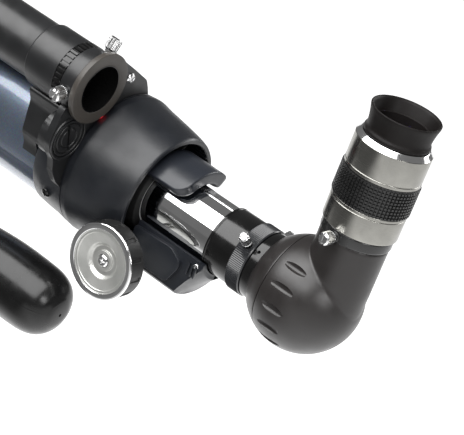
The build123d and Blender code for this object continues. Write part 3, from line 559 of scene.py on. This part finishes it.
# ---------------------------------------------------------------- focuser housing
sleeve = lathe("sleeve", OPTIC, soften([(-74, 17.6), (-74, 32.9), (-70, 32.9), (-69.4, 22.5),
                                        (-44, 22.5), (-44, 17.6)], 0.4),
               128)
cut(sleeve, [box((-2.4, -76, 10), (2.4, -40, 18.6)),
             box((-RACK_SLOT_HALF, -76, -24), (RACK_SLOT_HALF, -40, -10))])
SPOKES = 14
spokes = []
for index in range(SPOKES):
    way = ring_way(index * 360 / SPOKES)
    over_rack = way.z < 0 and abs(way.x) < 0.22
    if over_rack:
        continue
    across = Vector((way.z, 0, -way.x))
    spokes.append(prism("spoke", at(0, -52, 0) + way * 26.8 * MM, across, way,
                        [(-0.9, -5.4), (0.9, -5.4), (0.65, 5.4), (-0.65, 5.4)], 18.0, 0.3, 2))
place(joined("focuser_sleeve", [sleeve] + spokes), "optical_tube", "housing_plastic", MAT["inside"],
      "focuser_housing")


def arched_plate(name, start, end, half, corner, inner, outer, columns=96, rows=64):
    """Plate bent round the tube above the drawtube, with rounded rear corners and rolled edges."""
    middle = (inner + outer) / 2
    roll_reach = 2.0

    def edge_distance(s, v):
        """How far inside the outline a point lies."""
        if v > end - corner and abs(s) > half - corner:
            return corner - hypot(abs(s) - (half - corner), v - (end - corner))
        return min(half - abs(s), end - v, v - start + 0.001)

    verts = []
    faces = []
    grid = {}
    for surface in (1, -1):
        for j in range(rows + 1):
            v = start + (end - start) * sin(pi / 2 * j / rows)
            past = max(0.0, v - (end - corner))
            reach = half - corner + sqrt(max(corner ** 2 - past ** 2, 0.0))
            for i in range(columns + 1):
                rim = i in (0, columns) or j in (0, rows)
                if surface < 0 and rim:
                    grid[surface, i, j] = grid[1, i, j]
                    continue
                s = reach * sin(pi * (i / columns - 0.5))
                depth = 0.0 if rim else max(0.0, min(1.0, edge_distance(s, v) / roll_reach))
                height = (outer - inner) / 2 * (1 - (1 - depth) ** 4) ** 0.25
                angle = pi / 2 - s / middle
                radius = middle + surface * height
                grid[surface, i, j] = len(verts)
                verts.append(at(radius * cos(angle), v, radius * sin(angle)))
        for j in range(rows):
            for i in range(columns):
                faces.append([grid[surface, i, j], grid[surface, i + 1, j], grid[surface, i + 1, j + 1],
                              grid[surface, i, j + 1]])
    return new_piece(name, verts, faces, 60.0)


place(arched_plate("tongue", -46.0, -21.0, 20.6, 8.0, 19.6, 27.0),
      "optical_tube", "housing_plastic", MAT["tongue"])

chin_r = 37.7
chin_outline = ([(18.5, -9.5), (18.5, -32.0)] + arc_points((0, 0), chin_r, -62.4, -117.6, 24)
                + [(-18.5, -32.0), (-18.5, -9.5)])
chin = prism("chin", at(0, 4, 0), (1, 0, 0), (0, 0, 1), chin_outline, 44.9, 0)
chin_cone = lathe("cutter", OPTIC, [(-8.2, 38.4), (-5.6, 33.9), (-3.0, 29.9), (0.0, 26.1), (5.0, 20.6),
                                    (10, 20.6),
                                    (10, 46), (-8.2, 46)], 160)
cut(chin, [chin_cone, rod(OPTIC, -45, 6, 19.0, 96), rod(PINION, -6.6, 6.6, 7.2),
           rod(PINION, -25, 25, SHAFT_BORE),
           box((-RACK_SLOT_HALF, -50, -22.4), (RACK_SLOT_HALF, 8, -10)), box((-9, -42, -40),
                                                                             (9, -20, -33.9))])
add_bevel(chin, 0.45, 3, 35)
place(chin, "optical_tube", "housing_plastic", MAT["housing"])

pad_outline = soften([(-40.9, -12.0, 0.8), (-16.0, -10.5), (-8.5, -15.0), (-8.5, -19.0), (-13.0, -29.2),
                      (-40.9, -29.2, 0.8)], 2.6, 4)
for side, name in ((18.2, "pad_left"), (-21.0, "pad_right")):
    pad = prism(name, at(side, 0, 0), (0, 1, 0), (0, 0, 1), pad_outline, 2.8, 0)
    cut(pad, [rod(PINION, -25, 25, SHAFT_BORE)])
    add_bevel(pad, 0.6, 4, 35)
    place(pad, "optical_tube", "housing_plastic", MAT["housing"])
fins = []
for station in (-4.2, -1.9, 0.4):
    for low in (18.0, -20.0):
        fins.append(prism("fin", at(low, station, -19), (0, 1, 0), (0, 0, 1),
                          [(0, 0), (1.0, 0), (1.0, 6.2), (0.5, 7.0), (0, 6.2)], 2.0, 0.25, 2))
place(joined("chin_fins", fins), "optical_tube", "housing_plastic", MAT["housing"])
screws = []
for way in (1, -1):
    spin = Spindle(at(0, 0, -12.6), (way, 0, 0), (0, 1, 0))
    screw = lathe("screw", spin, soften([(17.2, 0), (17.2, 1.5), (19.0, 1.5), (19.3, 1.1),
                                         (19.3, 0)], 0.2), 32, False)
    screws.append(screw)
for side in (-1, 1):
    spin = Spindle(at(side * 6.0, -24.5, 0), (0, 0, 1), (0, 1, 0))
    screws.append(lathe("screw", spin, soften([(-37.0, 0), (-37.0, 2.1), (-36.2, 2.3), (-36.1, 1.2),
                                               (-29, 1.2),
                                                    (-29, 0)], 0.2), 40, False))
for station in (-45.0, 45.0):
    spin = Spindle(at(0, station - COLLAR_Y, 0), (0, 0, 1), (0, 1, 0))
    screws.append(lathe("screw", spin, soften([(-51.3, 0), (-51.3, 2.4), (-51.8, 2.8), (-51.9, 4.6),
                                               (-51.4, 5.0),
                                                    (-48.5, 5.0), (-48.5, 3.0), (-37.3, 3.0),
                                                    (-37.3, 0)], 0.2),
                              48, False))
bolt = lathe("screw", BOLT, soften([(-83.9, 0), (-83.9, 1.7), (-80, 1.7), (-80, 2.9), (-79.3, 2.9),
                                    (-78.5, 2.2),
                                         (-78.4, 0)], 0.2), 48, False)
cross = [prism("cutter", BOLT.point(-78.0, 0), FINDER_SIDE, FINDER_UP,
               [(-w, -h), (w, -h), (w, h), (-w, h)], 1.3, 0) for w, h in ((0.4, 2.0), (2.0, 0.4))]
cut(bolt, cross)
place(joined("screws_skin", [*screws, bolt]), "optical_tube", "plated_steel", MAT["steel"],
      "housing_screws")
cell_screws = []
for angle in (-150, -30, 165):
    spin = Spindle(at(0, -91, 0), ring_way(angle), (0, 1, 0))
    screw = lathe("screw", spin, [(37.0, 0), (37.0, 1.45), (39.2, 1.45), (39.2, 2.8), (39.6, 2.75),
                                  (40.2, 2.0),
                                  (40.5, 1.0), (40.55, 0)], 40, False)
    recess = prism("cutter", spin.point(41, 0), (0, 1, 0), spin.along.cross(Vector((0, 1, 0))),
                   [(-0.35, -1.6), (0.35, -1.6), (0.35, 1.6), (-0.35, 1.6)], 1.2, 0)
    cell_screws.append(cut(screw, [drawn_back(recess, spin.along, 1.2)]))
place(joined("cell_screws", cell_screws), "optical_tube", "plated_steel", MAT["gloss"])

# ---------------------------------------------------------------- drawtube
turned("drawtube_skin", OPTIC, [(-112, 16.0), (-112, DRAWTUBE_R), (9, DRAWTUBE_R),
                                (9, 16.0)], "drawtube", "mirror_chrome",
       "chrome", ("drawtube",), 256, 0.2)
turned("collar_skin", OPTIC,
       [(0, 17.1), (0, 18.4), (1.1, 18.4), (1.3, 18.15), (1.6, 18.15), (1.8, 18.4), (15.8, 18.4),
        (15.8, 17.3),
        (9, 17.3), (9, 17.1)], "drawtube", "gloss_black", "gloss", ("drawtube_collar",), 192, 0.25)


def knurl(teeth, depth, low, high):
    """Relief of straight ridges between two stations."""
    def relief(station, radius, angle):
        if not low < station < high:
            return 0.0
        return depth * (abs((angle * teeth / (2 * pi)) % 1 - 0.5) * 2 - 0.5)
    return relief


knurled_ring = lathe("knurled_ring", OPTIC,
                     soften([(9.6, 15.95), (9.6, 17.25), (15.85, 17.25)], 0.1, 2, False)
                     + [(15.85, 18.7), (16.4, 19.15), (16.42, 19.12), (19.0, 19.12), (21.6, 19.12),
                        (24.18, 19.12),
                        (24.2, 19.15), (24.8, 18.7), (24.8, 15.95)], 720, True, knurl(120, 0.32, 16.41,
                                                                                      24.19), 60.0)
for angle in RING_SCREW_ANGLES.values():
    spin = Spindle(at(0, RING_SCREW_Y, 0), ring_way(angle), (0, 1, 0))
    cut(knurled_ring, [rod(spin, 15, 21, 2.6, 32)])
place(knurled_ring, "drawtube", "housing_plastic", MAT["knurl"], "adapter_ring")


def thumb(node, spin, tip, seat, head_end, head_r, body, teeth=30, slot_turn=0.0):
    """Knurled and slotted thumbscrew on a radial spindle."""
    neck = seat + 1.6
    profile = [(tip, 0), (tip, 1.6), (seat + 0.25, 1.6), (seat + 0.25, head_r * 0.62),
               (neck, head_r * 0.66),
               (neck, head_r - 0.9), (neck + 0.7, head_r - 0.18), (neck + 0.72, head_r - 0.2),
               (head_end - 0.82, head_r - 0.2), (head_end - 0.8, head_r - 0.18), (head_end, head_r - 0.95),
               (head_end, 0)]
    piece = lathe(f"{node}_skin", spin, profile, teeth * 6, False,
                  knurl(teeth, 0.4, neck + 0.71, head_end - 0.81), 32.0)
    direction = spin.zero * cos(slot_turn) + spin.side * sin(slot_turn)
    across = spin.along.cross(direction)
    slot = prism("cutter", spin.point(head_end + 1, 0), across, direction,
                 [(-0.5, -6), (0.5, -6), (0.5, 6), (-0.5, 6)], 3.0, 0)
    cut(piece, [drawn_back(slot, spin.along, 4.4)])
    return place(piece, body, "plated_steel", MAT["steel"], node)


for node, angle in RING_SCREW_ANGLES.items():
    spin = Spindle(at(0, RING_SCREW_Y, 0), ring_way(angle), (0, 1, 0))
    thumb(node, spin, 16.0, 19.3, 28.6, 2.7, node, 26, 0.6)
nose = lathe("nose_skin", OPTIC,
             soften([(11.5, 14.6), (11.5, 15.87), (25.3, 15.87), (25.3, 18.5), (30.4, 18.5), (30.4, 15.4),
                     (33.5, 15.4), (33.5, 14.6)], 0.35), 192)
cut(nose, [rod(Spindle(at(0, 27.6, 0), ring_way(41), (0, 1, 0)), 16.6, 20, 0.9, 24)])
place(nose, "diagonal", "gloss_black", MAT["gloss"], "diagonal_nose")

# ---------------------------------------------------------------- diagonal
BALL_R = 29.9
BALL_Y = 53.3
BALL_C = at(0, BALL_Y, BALL_LIFT)


def on_ball(start, end, radius, steps=16):
    """Stations and radii on the ball."""
    return [(y, sqrt(radius ** 2 - (y - BALL_Y) ** 2)) for y in
            [start + (end - start) * n / steps for n in range(steps + 1)]]


front = ([(30.4, 15.8), (30.4, 18.1), (30.6, 18.9), (30.95, 19.6)] + on_ball(31.3, 41.7, BALL_R)
         + [(41.95, 27.55), (42.1, 27.2)] + on_ball(42.1, 33.5, BALL_R - 2.8) + [(33.5, 15.8)])
place(lathe("front_shell_skin", BALL, front, 224, True, None, 50.0),
      "diagonal", "diagonal_plastic", MAT["ball"],
      "diagonal_front_shell")


def neck_reach(radius, angle):
    """Distance from the ball's upright axis to a circle round the eyepiece axis, at an angle."""
    shift = EYE_Y - BALL_Y
    return shift * sin(angle) + sqrt(radius ** 2 - (shift * cos(angle)) ** 2)


def shell_mesh(name, top, turns=256, drops=130):
    """Ball and neck as one skin, blended at the crease."""
    crease = 1.8
    verts = []
    rows = [[] for row in range(drops + 4)]
    for step in range(turns):
        angle = 2 * pi * step / turns
        way = Vector((cos(angle), sin(angle), 0))
        bore = neck_reach(16.7, angle)
        outer = neck_reach(17.8, angle)
        spots = [way * bore + Vector((0, 0, 8.0)), way * bore + Vector((0, 0, top)),
                 way * (outer - 0.25) + Vector((0, 0, top))]
        first = atan2(outer, top - 0.25)
        for drop in range(drops + 1):
            fall = first + (pi - first) * drop / drops
            side = max(sin(fall), 1e-4)
            neck = (outer - 0.35 * max(0.0, min(1.0, (fall - 1.1) / 0.4))) / side if fall < pi / 2 else 0.0
            gap = abs(BALL_R - neck)
            swell = crease / 4 * max(0.0, 1 - gap / crease) ** 2
            swell *= max(0.0, min(1.0, (1.35 - fall) / 0.3))
            reach = max(BALL_R, neck) + swell
            spots.append(way * reach * side + Vector((0, 0, reach * cos(fall))))
        for row, spot in zip(rows, spots):
            row.append(len(verts))
            verts.append(BALL_C + spot * MM)
    faces = []
    for low, high in zip(rows, rows[1:]):
        for step in range(turns):
            after = (step + 1) % turns
            faces.append([low[step], low[after], high[after], high[step]])
    return new_piece(name, verts, faces, 50.0)


def trimmed(piece, spot, normal, wall):
    """Cut away everything behind a plane and turn the cut edge inward as a lip."""
    work = bmesh.new()
    work.from_mesh(piece.data)
    bmesh.ops.remove_doubles(work, verts=work.verts, dist=1e-6)
    everything = list(work.verts) + list(work.edges) + list(work.faces)
    found = bmesh.ops.bisect_plane(work, geom=everything, plane_co=spot, plane_no=normal, clear_inner=True)
    edges = [item for item in found["geom_cut"] if isinstance(item, bmesh.types.BMEdge)]
    lip = bmesh.ops.extrude_edge_only(work, edges=edges)
    for vertex in [item for item in lip["geom"] if isinstance(item, bmesh.types.BMVert)]:
        offset = vertex.co - BALL_C
        across = Vector((offset.x, 0, offset.z))
        vertex.co -= across.normalized() * wall * MM
        vertex.co.y += 0.25 * MM
    bmesh.ops.recalc_face_normals(work, faces=work.faces)
    work.to_mesh(piece.data)
    work.free()
    shaded(piece.data, 50)
    return piece


rear_shell = shell_mesh("rear_shell_skin", 42.1)
dimples = []
for step in range(6):
    for way in (1, -1):
        angle = radians(-70 + 22.5 * step)
        out = Vector((way * cos(angle), 0, sin(angle)))
        spin = Spindle(at(0, 53.6, 0.3) + out * 30.5 * MM, (0, 1, 0), out)
        profile = [(d, 2.3 * (1 - (d / 10.5) ** 2)) for d in [-10.5 + 21 * n / 28 for n in range(29)]]
        dimples.append(lathe("dimple", spin, profile, 48, False))
cut(rear_shell, [joined("dimples", dimples)])
trimmed(rear_shell, at(0, 42.45, 0), (0, 1, 0), 2.6)
place(rear_shell, "diagonal", "diagonal_plastic", MAT["ball"], "diagonal_rear_shell")

NECK_WAY = Vector((cos(radians(-4)), sin(radians(-4)), 0))
NECK_SCREW = Spindle(at(0, EYE_Y, 44.8), NECK_WAY, (0, 0, 1))
socket = lathe("socket_ring", EYE,
               soften([(23.0, 15.95), (23.0, 16.6), (42.45, 16.6), (42.45, 18.0), (43.0, 18.4),
                       (47.6, 18.4),
                       (48.2, 18.0), (48.2, 15.95)], 0.35), 192)
boss = lathe("boss", NECK_SCREW, soften([(17.0, 1.7), (17.0, 3.0), (19.4, 2.8), (19.4, 1.7)], 0.3), 48)
place(joined("socket_skin", [socket, boss]), "diagonal", "diagonal_plastic", MAT["socket"],
      "diagonal_socket")
thumb("diagonal_screw", NECK_SCREW, 16.0, 19.6, 28.0, 3.3, "diagonal_screw", 30, 0.15)

# ---------------------------------------------------------------- eyepiece
turned("barrel_skin", EYE, [(26.0, 14.4), (26.0, 15.87), (34, 15.87), (34.6, 15.37), (38.4, 15.37),
                            (39, 15.87),
                            (56, 15.87), (56, 14.4)], "eyepiece", "mirror_chrome", "chrome",
                            ("eyepiece_barrel",),
       160, 0.3)
turned("band_skin", EYE,
       [(48.4, 15.9), (48.4, 19.1), (48.8, 19.5), (60.6, 19.5), (60.75, 19.25), (61.05, 19.25),
        (61.2, 19.5),
        (62.4, 19.5), (62.4, 18.2), (78.4, 18.2), (78.4, 16.4), (56, 16.4),
        (56, 15.9)], "eyepiece", "gunmetal",
       "gunmetal", ("eyepiece_body",), 224, 0.25)

STUD_ROWS = 9
STUDS = 64
stud_pitch = 15.4 / STUD_ROWS
stud_stations = []
for index in range(STUD_ROWS):
    low = 62.75 + index * stud_pitch
    stud_stations += [(low, low + 0.18, low + stud_pitch - 0.62, low + stud_pitch - 0.44)]


def stud_relief(station, radius, angle):
    """Raised squares on the rubber grip."""
    across = (angle * STUDS / (2 * pi)) % 1
    if not 0.25 <= across <= 0.9:
        return 0.0
    return 0.8 if any(row[0] + 0.05 < station < row[3] - 0.05 for row in stud_stations) else 0.0


grip_profile = [(62.4, 18.2), (62.4, 19.35)]
for row in stud_stations:
    grip_profile += [(spot, 19.35) for spot in row]
grip_profile += [(78.4, 19.35), (78.4, 18.2)]
place(lathe("grip_skin", EYE, grip_profile, STUDS * 10, True, stud_relief, 30.0), "eyepiece", "rubber",
      MAT["rubber"], "eyepiece_grip")
turned("crown_skin", EYE,
       [(78.4, 14.0), (78.4, 19.2), (78.8, 19.6), (80.2, 19.6), (80.35, 19.35), (80.65, 19.35),
        (80.8, 19.6),
        (94.0, 19.6), (94.1, 19.3), (94.1, 14.0)], "eyepiece", "gunmetal", "gunmetal",
        ("eyepiece_crown",), 224, 0.2)
turned("crown_chamfer", EYE, [(94.1, 14.0), (94.1, 19.5), (94.3, 19.3), (96.3, 17.55), (96.5, 17.3),
                              (96.5, 13.4),
                              (94.1, 13.4)], "eyepiece", "gunmetal", "bright", (), 224, 0.12)
cup = (flowing([(96.6, 16.6), (97.2, 16.95), (98.2, 16.9), (99.4, 16.3), (100.6, 16.15), (103.0, 16.4),
                (106.0, 16.95),
                (109.2, 17.75), (110.0, 17.65), (110.1, 17.1), (109.6, 16.4)], 4)
       + [(108.8, 16.0), (103.6, 14.2), (103.3, 13.7), (96.6, 13.5)])
place(lathe("eyecup_skin", EYE, cup, 192, True, None, 35.0), "eyepiece", "rubber", MAT["cup_rubber"],
      "eyecup")

# ---------------------------------------------------------------- focus knobs
def knob_notch(station, radius, angle):
    """Shallow notches round the rubber band."""
    off = abs((angle / (2 * pi) * 12) % 1 - 0.5) * 2
    return -0.55 * min(1.0, max(0.0, (off - 0.74) / 0.06)) if 38.0 < station < 44.9 and radius > 19 else 0.0


for label, way in (("left", 1), ("right", -1)):
    spin = Spindle(PINION_CENTRE, (way, 0, 0), (0, 0, 1))
    face = [(36.5, 3.0), (36.5, 18.6), (46.2, 18.6), (46.9, 18.35), (47.0, 18.1), (47.0, 16.5),
            (46.75, 16.3),
            (46.75, 15.3), (46.4, 15.0), (45.1, 10.2), (44.9, 9.6), (44.6, 9.2), (43.5, 8.2), (43.2, 7.7),
            (43.2, 5.9), (43.35, 5.6), (44.4, 5.3), (44.4, 3.5), (42.2, 3.4), (42.2, 3.0)]
    disc = lathe(f"knob_{label}_disc_skin", spin, soften(face, 0.22), 224)
    place(disc, "pinion", "satin_silver", MAT["silver"], f"knob_{label}_disc")
    turned(f"knob_{label}_rim", spin,
           [(46.0, 18.0), (46.0, 20.15), (46.5, 20.25), (47.0, 19.8), (47.25, 18.9), (47.2, 17.2),
            (46.9, 16.7),
            (46.6, 16.7), (46.6, 18.0)], "pinion", "satin_silver", "bright", (), 224, 0.15)
    band = [(36.3, 18.6), (36.3, 19.7), (36.8, 20.1), (37.9, 20.1), (38.1, 20.1), (41.0, 20.1),
            (44.8, 20.1),
            (45.0, 20.1), (45.9, 20.1), (46.6, 19.6), (46.8, 19.2), (46.8, 18.62)]
    place(lathe(f"knob_{label}_grip_skin", spin, band, 480, True, knob_notch, 32.0), "pinion", "rubber",
          MAT["knob_rubber"], f"knob_{label}_grip")

# ---------------------------------------------------------------- finder
flange_outline = [(36.5, 16.3), (38.3, 24.0), (38.3, 32.0), (35.7, 39.7), (36.5, 46.0), (35.4, 51.9),
                  (30.0, 58.0),
                  (23.2, 63.8), (19.5, 66.0), (17.0, 60.0), (-17.0, 60.0), (-19.5, 68.0), (-22.3, 60.7),
                  (-27.3, 49.4), (-32.9, 35.8), (-32.4, 29.6), (-31.5, 24.7), (-31.5, 17.0)]
saddle_half = [(32.3, 18.1), (29.3, 23.7), (28.7, 31.5), (18.4, 46.7), (17.0, 54.5)]
saddle_outline = saddle_half + [(-side, height) for side, height in reversed(saddle_half)]
flange = prism("bracket_skin", finder_at(0, -80, 0), FINDER_SIDE, FINDER_UP, soften(flange_outline, 1.6,
                                                                                    3), 4.0, 0)
saddle = prism("saddle", finder_at(0, -83, 0), FINDER_SIDE, FINDER_UP, soften(saddle_outline, 1.6, 3),
               29.0, 0)
POCKET = Spindle(finder_at(23.6, -89, 45.4), (0, 1, 0), FINDER_UP)
cut(flange, [saddle, rod(POCKET, 0, 6, 12.5, 96)], "UNION")
slot_box = prism("cutter", finder_at(0, -91.8, 0), FINDER_SIDE, FINDER_UP,
                 [(-5.4, 38.5), (5.4, 38.5), (5.4, 50.0), (-5.4, 50.0)], 16.4, 0)
cut(flange, [rod(OPTIC, -102.4, -60, 40.36, 160), rod(OPTIC, -120, -102.2, 37.05, 160),
             rod(SIGHT, -120, -70, 18.2, 128),
             rod(POCKET, 5.9, 12, 10.6, 96), rod(POCKET, 2.6, 6.5, 8.3, 64),
             slot_box, rod(BOLT, -86, -79, 1.7, 24),
             rod(Spindle(finder_at(0, -100, 42.6), FINDER_SIDE, FINDER_UP), -12, 12, 1.55, 24)])
add_bevel(flange, 0.55, 3, 38)
place(flange, "optical_tube", "finder_plastic", MAT["finder"], "finder_bracket")

tube_profile = soften(
    [(-79.0, 13.0), (-79.0, 17.2), (-88.1, 17.2), (-88.1, 15.8), (-93.4, 15.8), (-93.4, 17.2),
     (-112.6, 17.2),
     (-113.6, 15.8), (-148, 15.8), (-154, 18.0), (-167, 18.0), (-168, 17.4), (-168, 15.0), (-157.8, 15.0),
     (-157.8, 13.4), (-98, 13.4), (-98, 13.0)], 0.35)
place(lathe("finder_tube_skin", SIGHT, tube_profile, 192, True, None, 35.0), "finder", "finder_plastic",
      MAT["finder"], "finder_tube")
# Rear ring of the finder in the lighter copy of the finder plastic, with painted light on its rear face.
turned("finder_ring_painted_lit", SIGHT, [(-75.8, 13.0), (-75.8, 19.5), (-76.4, 19.6), (-79.0, 19.5),
                              (-79.0, 13.0)], "finder",
       "finder_plastic", "ring", (), 192, 0.5)
bore = [(-97 + 2.2 * n, 12.75 + 0.15 * (n % 2)) for n in range(10)]
place(lathe("finder_bore", SIGHT, [(-75.75, 13.1), (-98, 13.1),
                                   (-98, 12.75)] + bore + [(-75.75, 12.8)], 160, True,
            None, 35.0), "finder", "finder_plastic", MAT["gloss"])
lug = prism("finder_lug", finder_at(-5, 0, 0), (0, 1, 0), FINDER_UP,
            soften([(-104, 40.6), (-96, 40.6), (-94, 48.8), (-106, 48.8)], 0.8), 10.0, 0)
add_bevel(drawn_back(lug, -FINDER_SIDE, 10), 0.4, 2, 40)
place(lug, "finder", "finder_plastic", MAT["finder"])


DIAL_RIDGES = 38


def dial_ridges(station, radius, angle):
    """Square-topped grip ridges along the dial."""
    return -0.75 if radius >= 17.0 and (angle * DIAL_RIDGES / (2 * pi)) % 1 >= 0.55 else 0.0


dial = lathe("dial_skin", SIGHT, [(-93.3, 15.9), (-93.3, 17.05), (-93.1, 17.4), (-90.7, 17.4),
                                  (-88.4, 17.4),
                                  (-88.2, 17.05), (-88.2, 15.9)], DIAL_RIDGES * 16, True, dial_ridges, 30.0)
place(dial, "finder_dial", "rubber", MAT["gloss"], "finder_dial")


def aiming_screw(side):
    """Spindle of an aiming screw."""
    lift = radians(28)
    way = FINDER_SIDE * side * cos(lift) + FINDER_UP * sin(lift)
    return Spindle(SIGHT.point(-83.5, 0), way, (0, 1, 0))


for node, side, slot_turn in (("finder_screw_left", 1, 1.2), ("finder_screw_right", -1, 0.4)):
    thumb(node, aiming_screw(side), 15.8, 17.2, 26.0, 3.6, node, 22, slot_turn)

cover_profile = soften([(6.0, 0), (6.0, 10.35), (9.5, 10.35), (9.6, 9.9), (9.6, 9.0), (8.9, 8.8),
                        (8.9, 8.3),
                        (9.6, 8.1), (9.6, 5.9), (8.9, 5.7), (8.9, 5.2), (9.6, 5.0),
                        (9.6, 0)], 0.18, 2, False)
cover = lathe("cover_skin", POCKET, cover_profile, 128, False)
slot_turn = radians(18)
slot_way = FINDER_UP * cos(slot_turn) - FINDER_SIDE * sin(slot_turn)
slot_across = FINDER_SIDE * cos(slot_turn) + FINDER_UP * sin(slot_turn)
coin_slot = prism("cutter", POCKET.point(12, 0), slot_across, slot_way,
                  soften([(-0.75, -8.4), (0.75, -8.4), (0.75, 8.4), (-0.75, 8.4)], 0.5), 3.9, 0)
cut(cover, [coin_slot])
add_bevel(cover, 0.15, 2, 50)
place(cover, "battery_cover", "finder_plastic", MAT["finder"], "battery_cover")
cover_rim = lathe("cover_rim", POCKET, soften([(8.6, 11.0), (9.7, 11.1), (9.9, 11.6), (9.8, 12.4),
                                               (8.6, 12.7)], 0.25),
                  128)
cut(cover_rim, [rod(SIGHT, -90, -70, 20.8, 96)])
place(cover_rim, "optical_tube", "finder_plastic", MAT["finder"])
LED = Spindle(finder_at(1.0, -80, 41.95), (0, 1, 0), FINDER_UP)
turned("led_skin", LED, [(0, 0), (0, 2.6), (0.7, 2.5), (1.3, 1.8), (1.5, 0.8),
                         (1.55, 0)], "optical_tube", "red_led",
       "led", ("finder_led",), 64, 0.2)

# ---------------------------------------------------------------- handle
grip_line = flowing([(-196, 10.2), (-194, 11.6), (-190, 12.2), (-168, 13.6), (-140, 15.4), (-104, 18.6),
                     (-92, 19.4),
                     (-80, 19.5), (-66, 19.0), (-58.5, 16.9), (-54.0, 13.2), (-51.6, 9.0), (-50.7, 6.6),
                     (-50.35, 4.6)], 6) + [(-50.2, 2.4), (-50.15, 0.9), (-51.2, 0.85), (-51.3, 0.0)]


def grip_seam(station, radius, angle):
    """Fine moulding seam along both sides of the grip."""
    off = abs((degrees(angle) + 8 + 90) % 180 - 90)
    return 0.10 * max(0.0, 1 - off / 1.1) if radius > 6 else 0.0


handle = lathe("handle_skin", GRIP, [(-120, 0), (-120, 5.0), (-196, 5.0)] + grip_line, 360, False,
               grip_seam, 35.0)
place(handle, "pan_handle", "handle_plastic", MAT["handle"], "handle_grip")


# ---------------------------------------------------------------- floor, lights and camera
def softbox(name, spot, aim, size, power):
    """Softbox whose length runs as near the tube's direction as its aim allows."""
    data = bpy.data.lights.new(name, "AREA")
    data.shape = "RECTANGLE"
    data.size, data.size_y = size
    data.energy = power
    light = bpy.data.objects.new(name, data)
    facing = (Vector(spot) - Vector(aim)).normalized()
    across = Vector((0, 1, 0)).cross(facing).normalized()
    along = facing.cross(across)
    light.matrix_world = Matrix.Translation(spot) @ Matrix((across, along, facing)).transposed().to_4x4()
    bpy.context.scene.collection.objects.link(light)
    return light


bpy.ops.mesh.primitive_plane_add(size=60, location=(0, 0, -1.25))
floor = bpy.context.object
floor.name = "floor"
floor_paint = Paint("floor_white_and_painted_dark")
# The floor glows evenly white where the camera sees it and is painted dark towards +x and -y, out of view: a
# painted dark reflection for the glossy and metal parts.
spot = floor_paint.tree.nodes.new("ShaderNodeSeparateXYZ")
floor_paint.link(floor_paint.place, spot.inputs["Vector"])
shade = floor_paint.tree.nodes.new("ShaderNodeMath")
shade.operation = "MULTIPLY"
floor_paint.link(floor_paint.span(spot.outputs["X"], 0.0, 1.0, -0.1, 1.2), shade.inputs[0])
floor_paint.link(floor_paint.span(spot.outputs["Y"], 1.0, 0.0, -0.4, 1.2), shade.inputs[1])
floor_tone_painted_dark = floor_paint.ramp(shade.outputs["Value"], [(0.0, grey(0.88)), (1.0, grey(0.10))])
floor_paint.colour(floor_tone_painted_dark)
floor_paint.link(floor_tone_painted_dark, floor_paint.shader.inputs["Emission Color"])
floor_paint.set(Roughness=0.9, Emission_Strength=1.05)
floor.data.materials.append(floor_paint.material)

CAMERA_DISTANCE = 0.9
TARGET = Vector((0.0, 0.3287, 0.1622))
BACK = Vector((0.7934, 0.4373, 0.4236)).normalized()

softbox("overhead", TARGET + Vector((0.82, -0.7, 1.26)), TARGET + Vector((0, -0.7, 0)), (1.73, 2.8), 92)
softbox("front", TARGET + Vector((0.9, 1.9, 0.9)), TARGET, (0.5, 0.9), 14)
softbox("back", TARGET + Vector((-1.6, 0.5, 0.7)), TARGET, (0.35, 1.6), 12)

world = bpy.data.worlds.new("studio")
bpy.context.scene.world = world
world.use_nodes = True
sky = world.node_tree
sky.nodes["Background"].inputs["Color"].default_value = (1, 1, 1, 1)
sky.nodes["Background"].inputs["Strength"].default_value = 0.17

camera = bpy.data.objects.new("camera", bpy.data.cameras.new("camera"))
camera.data.sensor_width = 36
camera.data.lens = 138.09
camera.data.clip_end = 60
level = Vector((0, 0, 1)).cross(BACK).normalized()
upright = BACK.cross(level)
roll = radians(21.21)
right = level * cos(roll) + upright * sin(roll)
top = upright * cos(roll) - level * sin(roll)
turn = Matrix((right, top, BACK)).transposed().to_4x4()
camera.matrix_world = Matrix.Translation(TARGET + BACK * CAMERA_DISTANCE) @ turn
bpy.context.scene.collection.objects.link(camera)
bpy.context.scene.camera = camera
bpy.context.scene.view_settings.view_transform = "Standard"
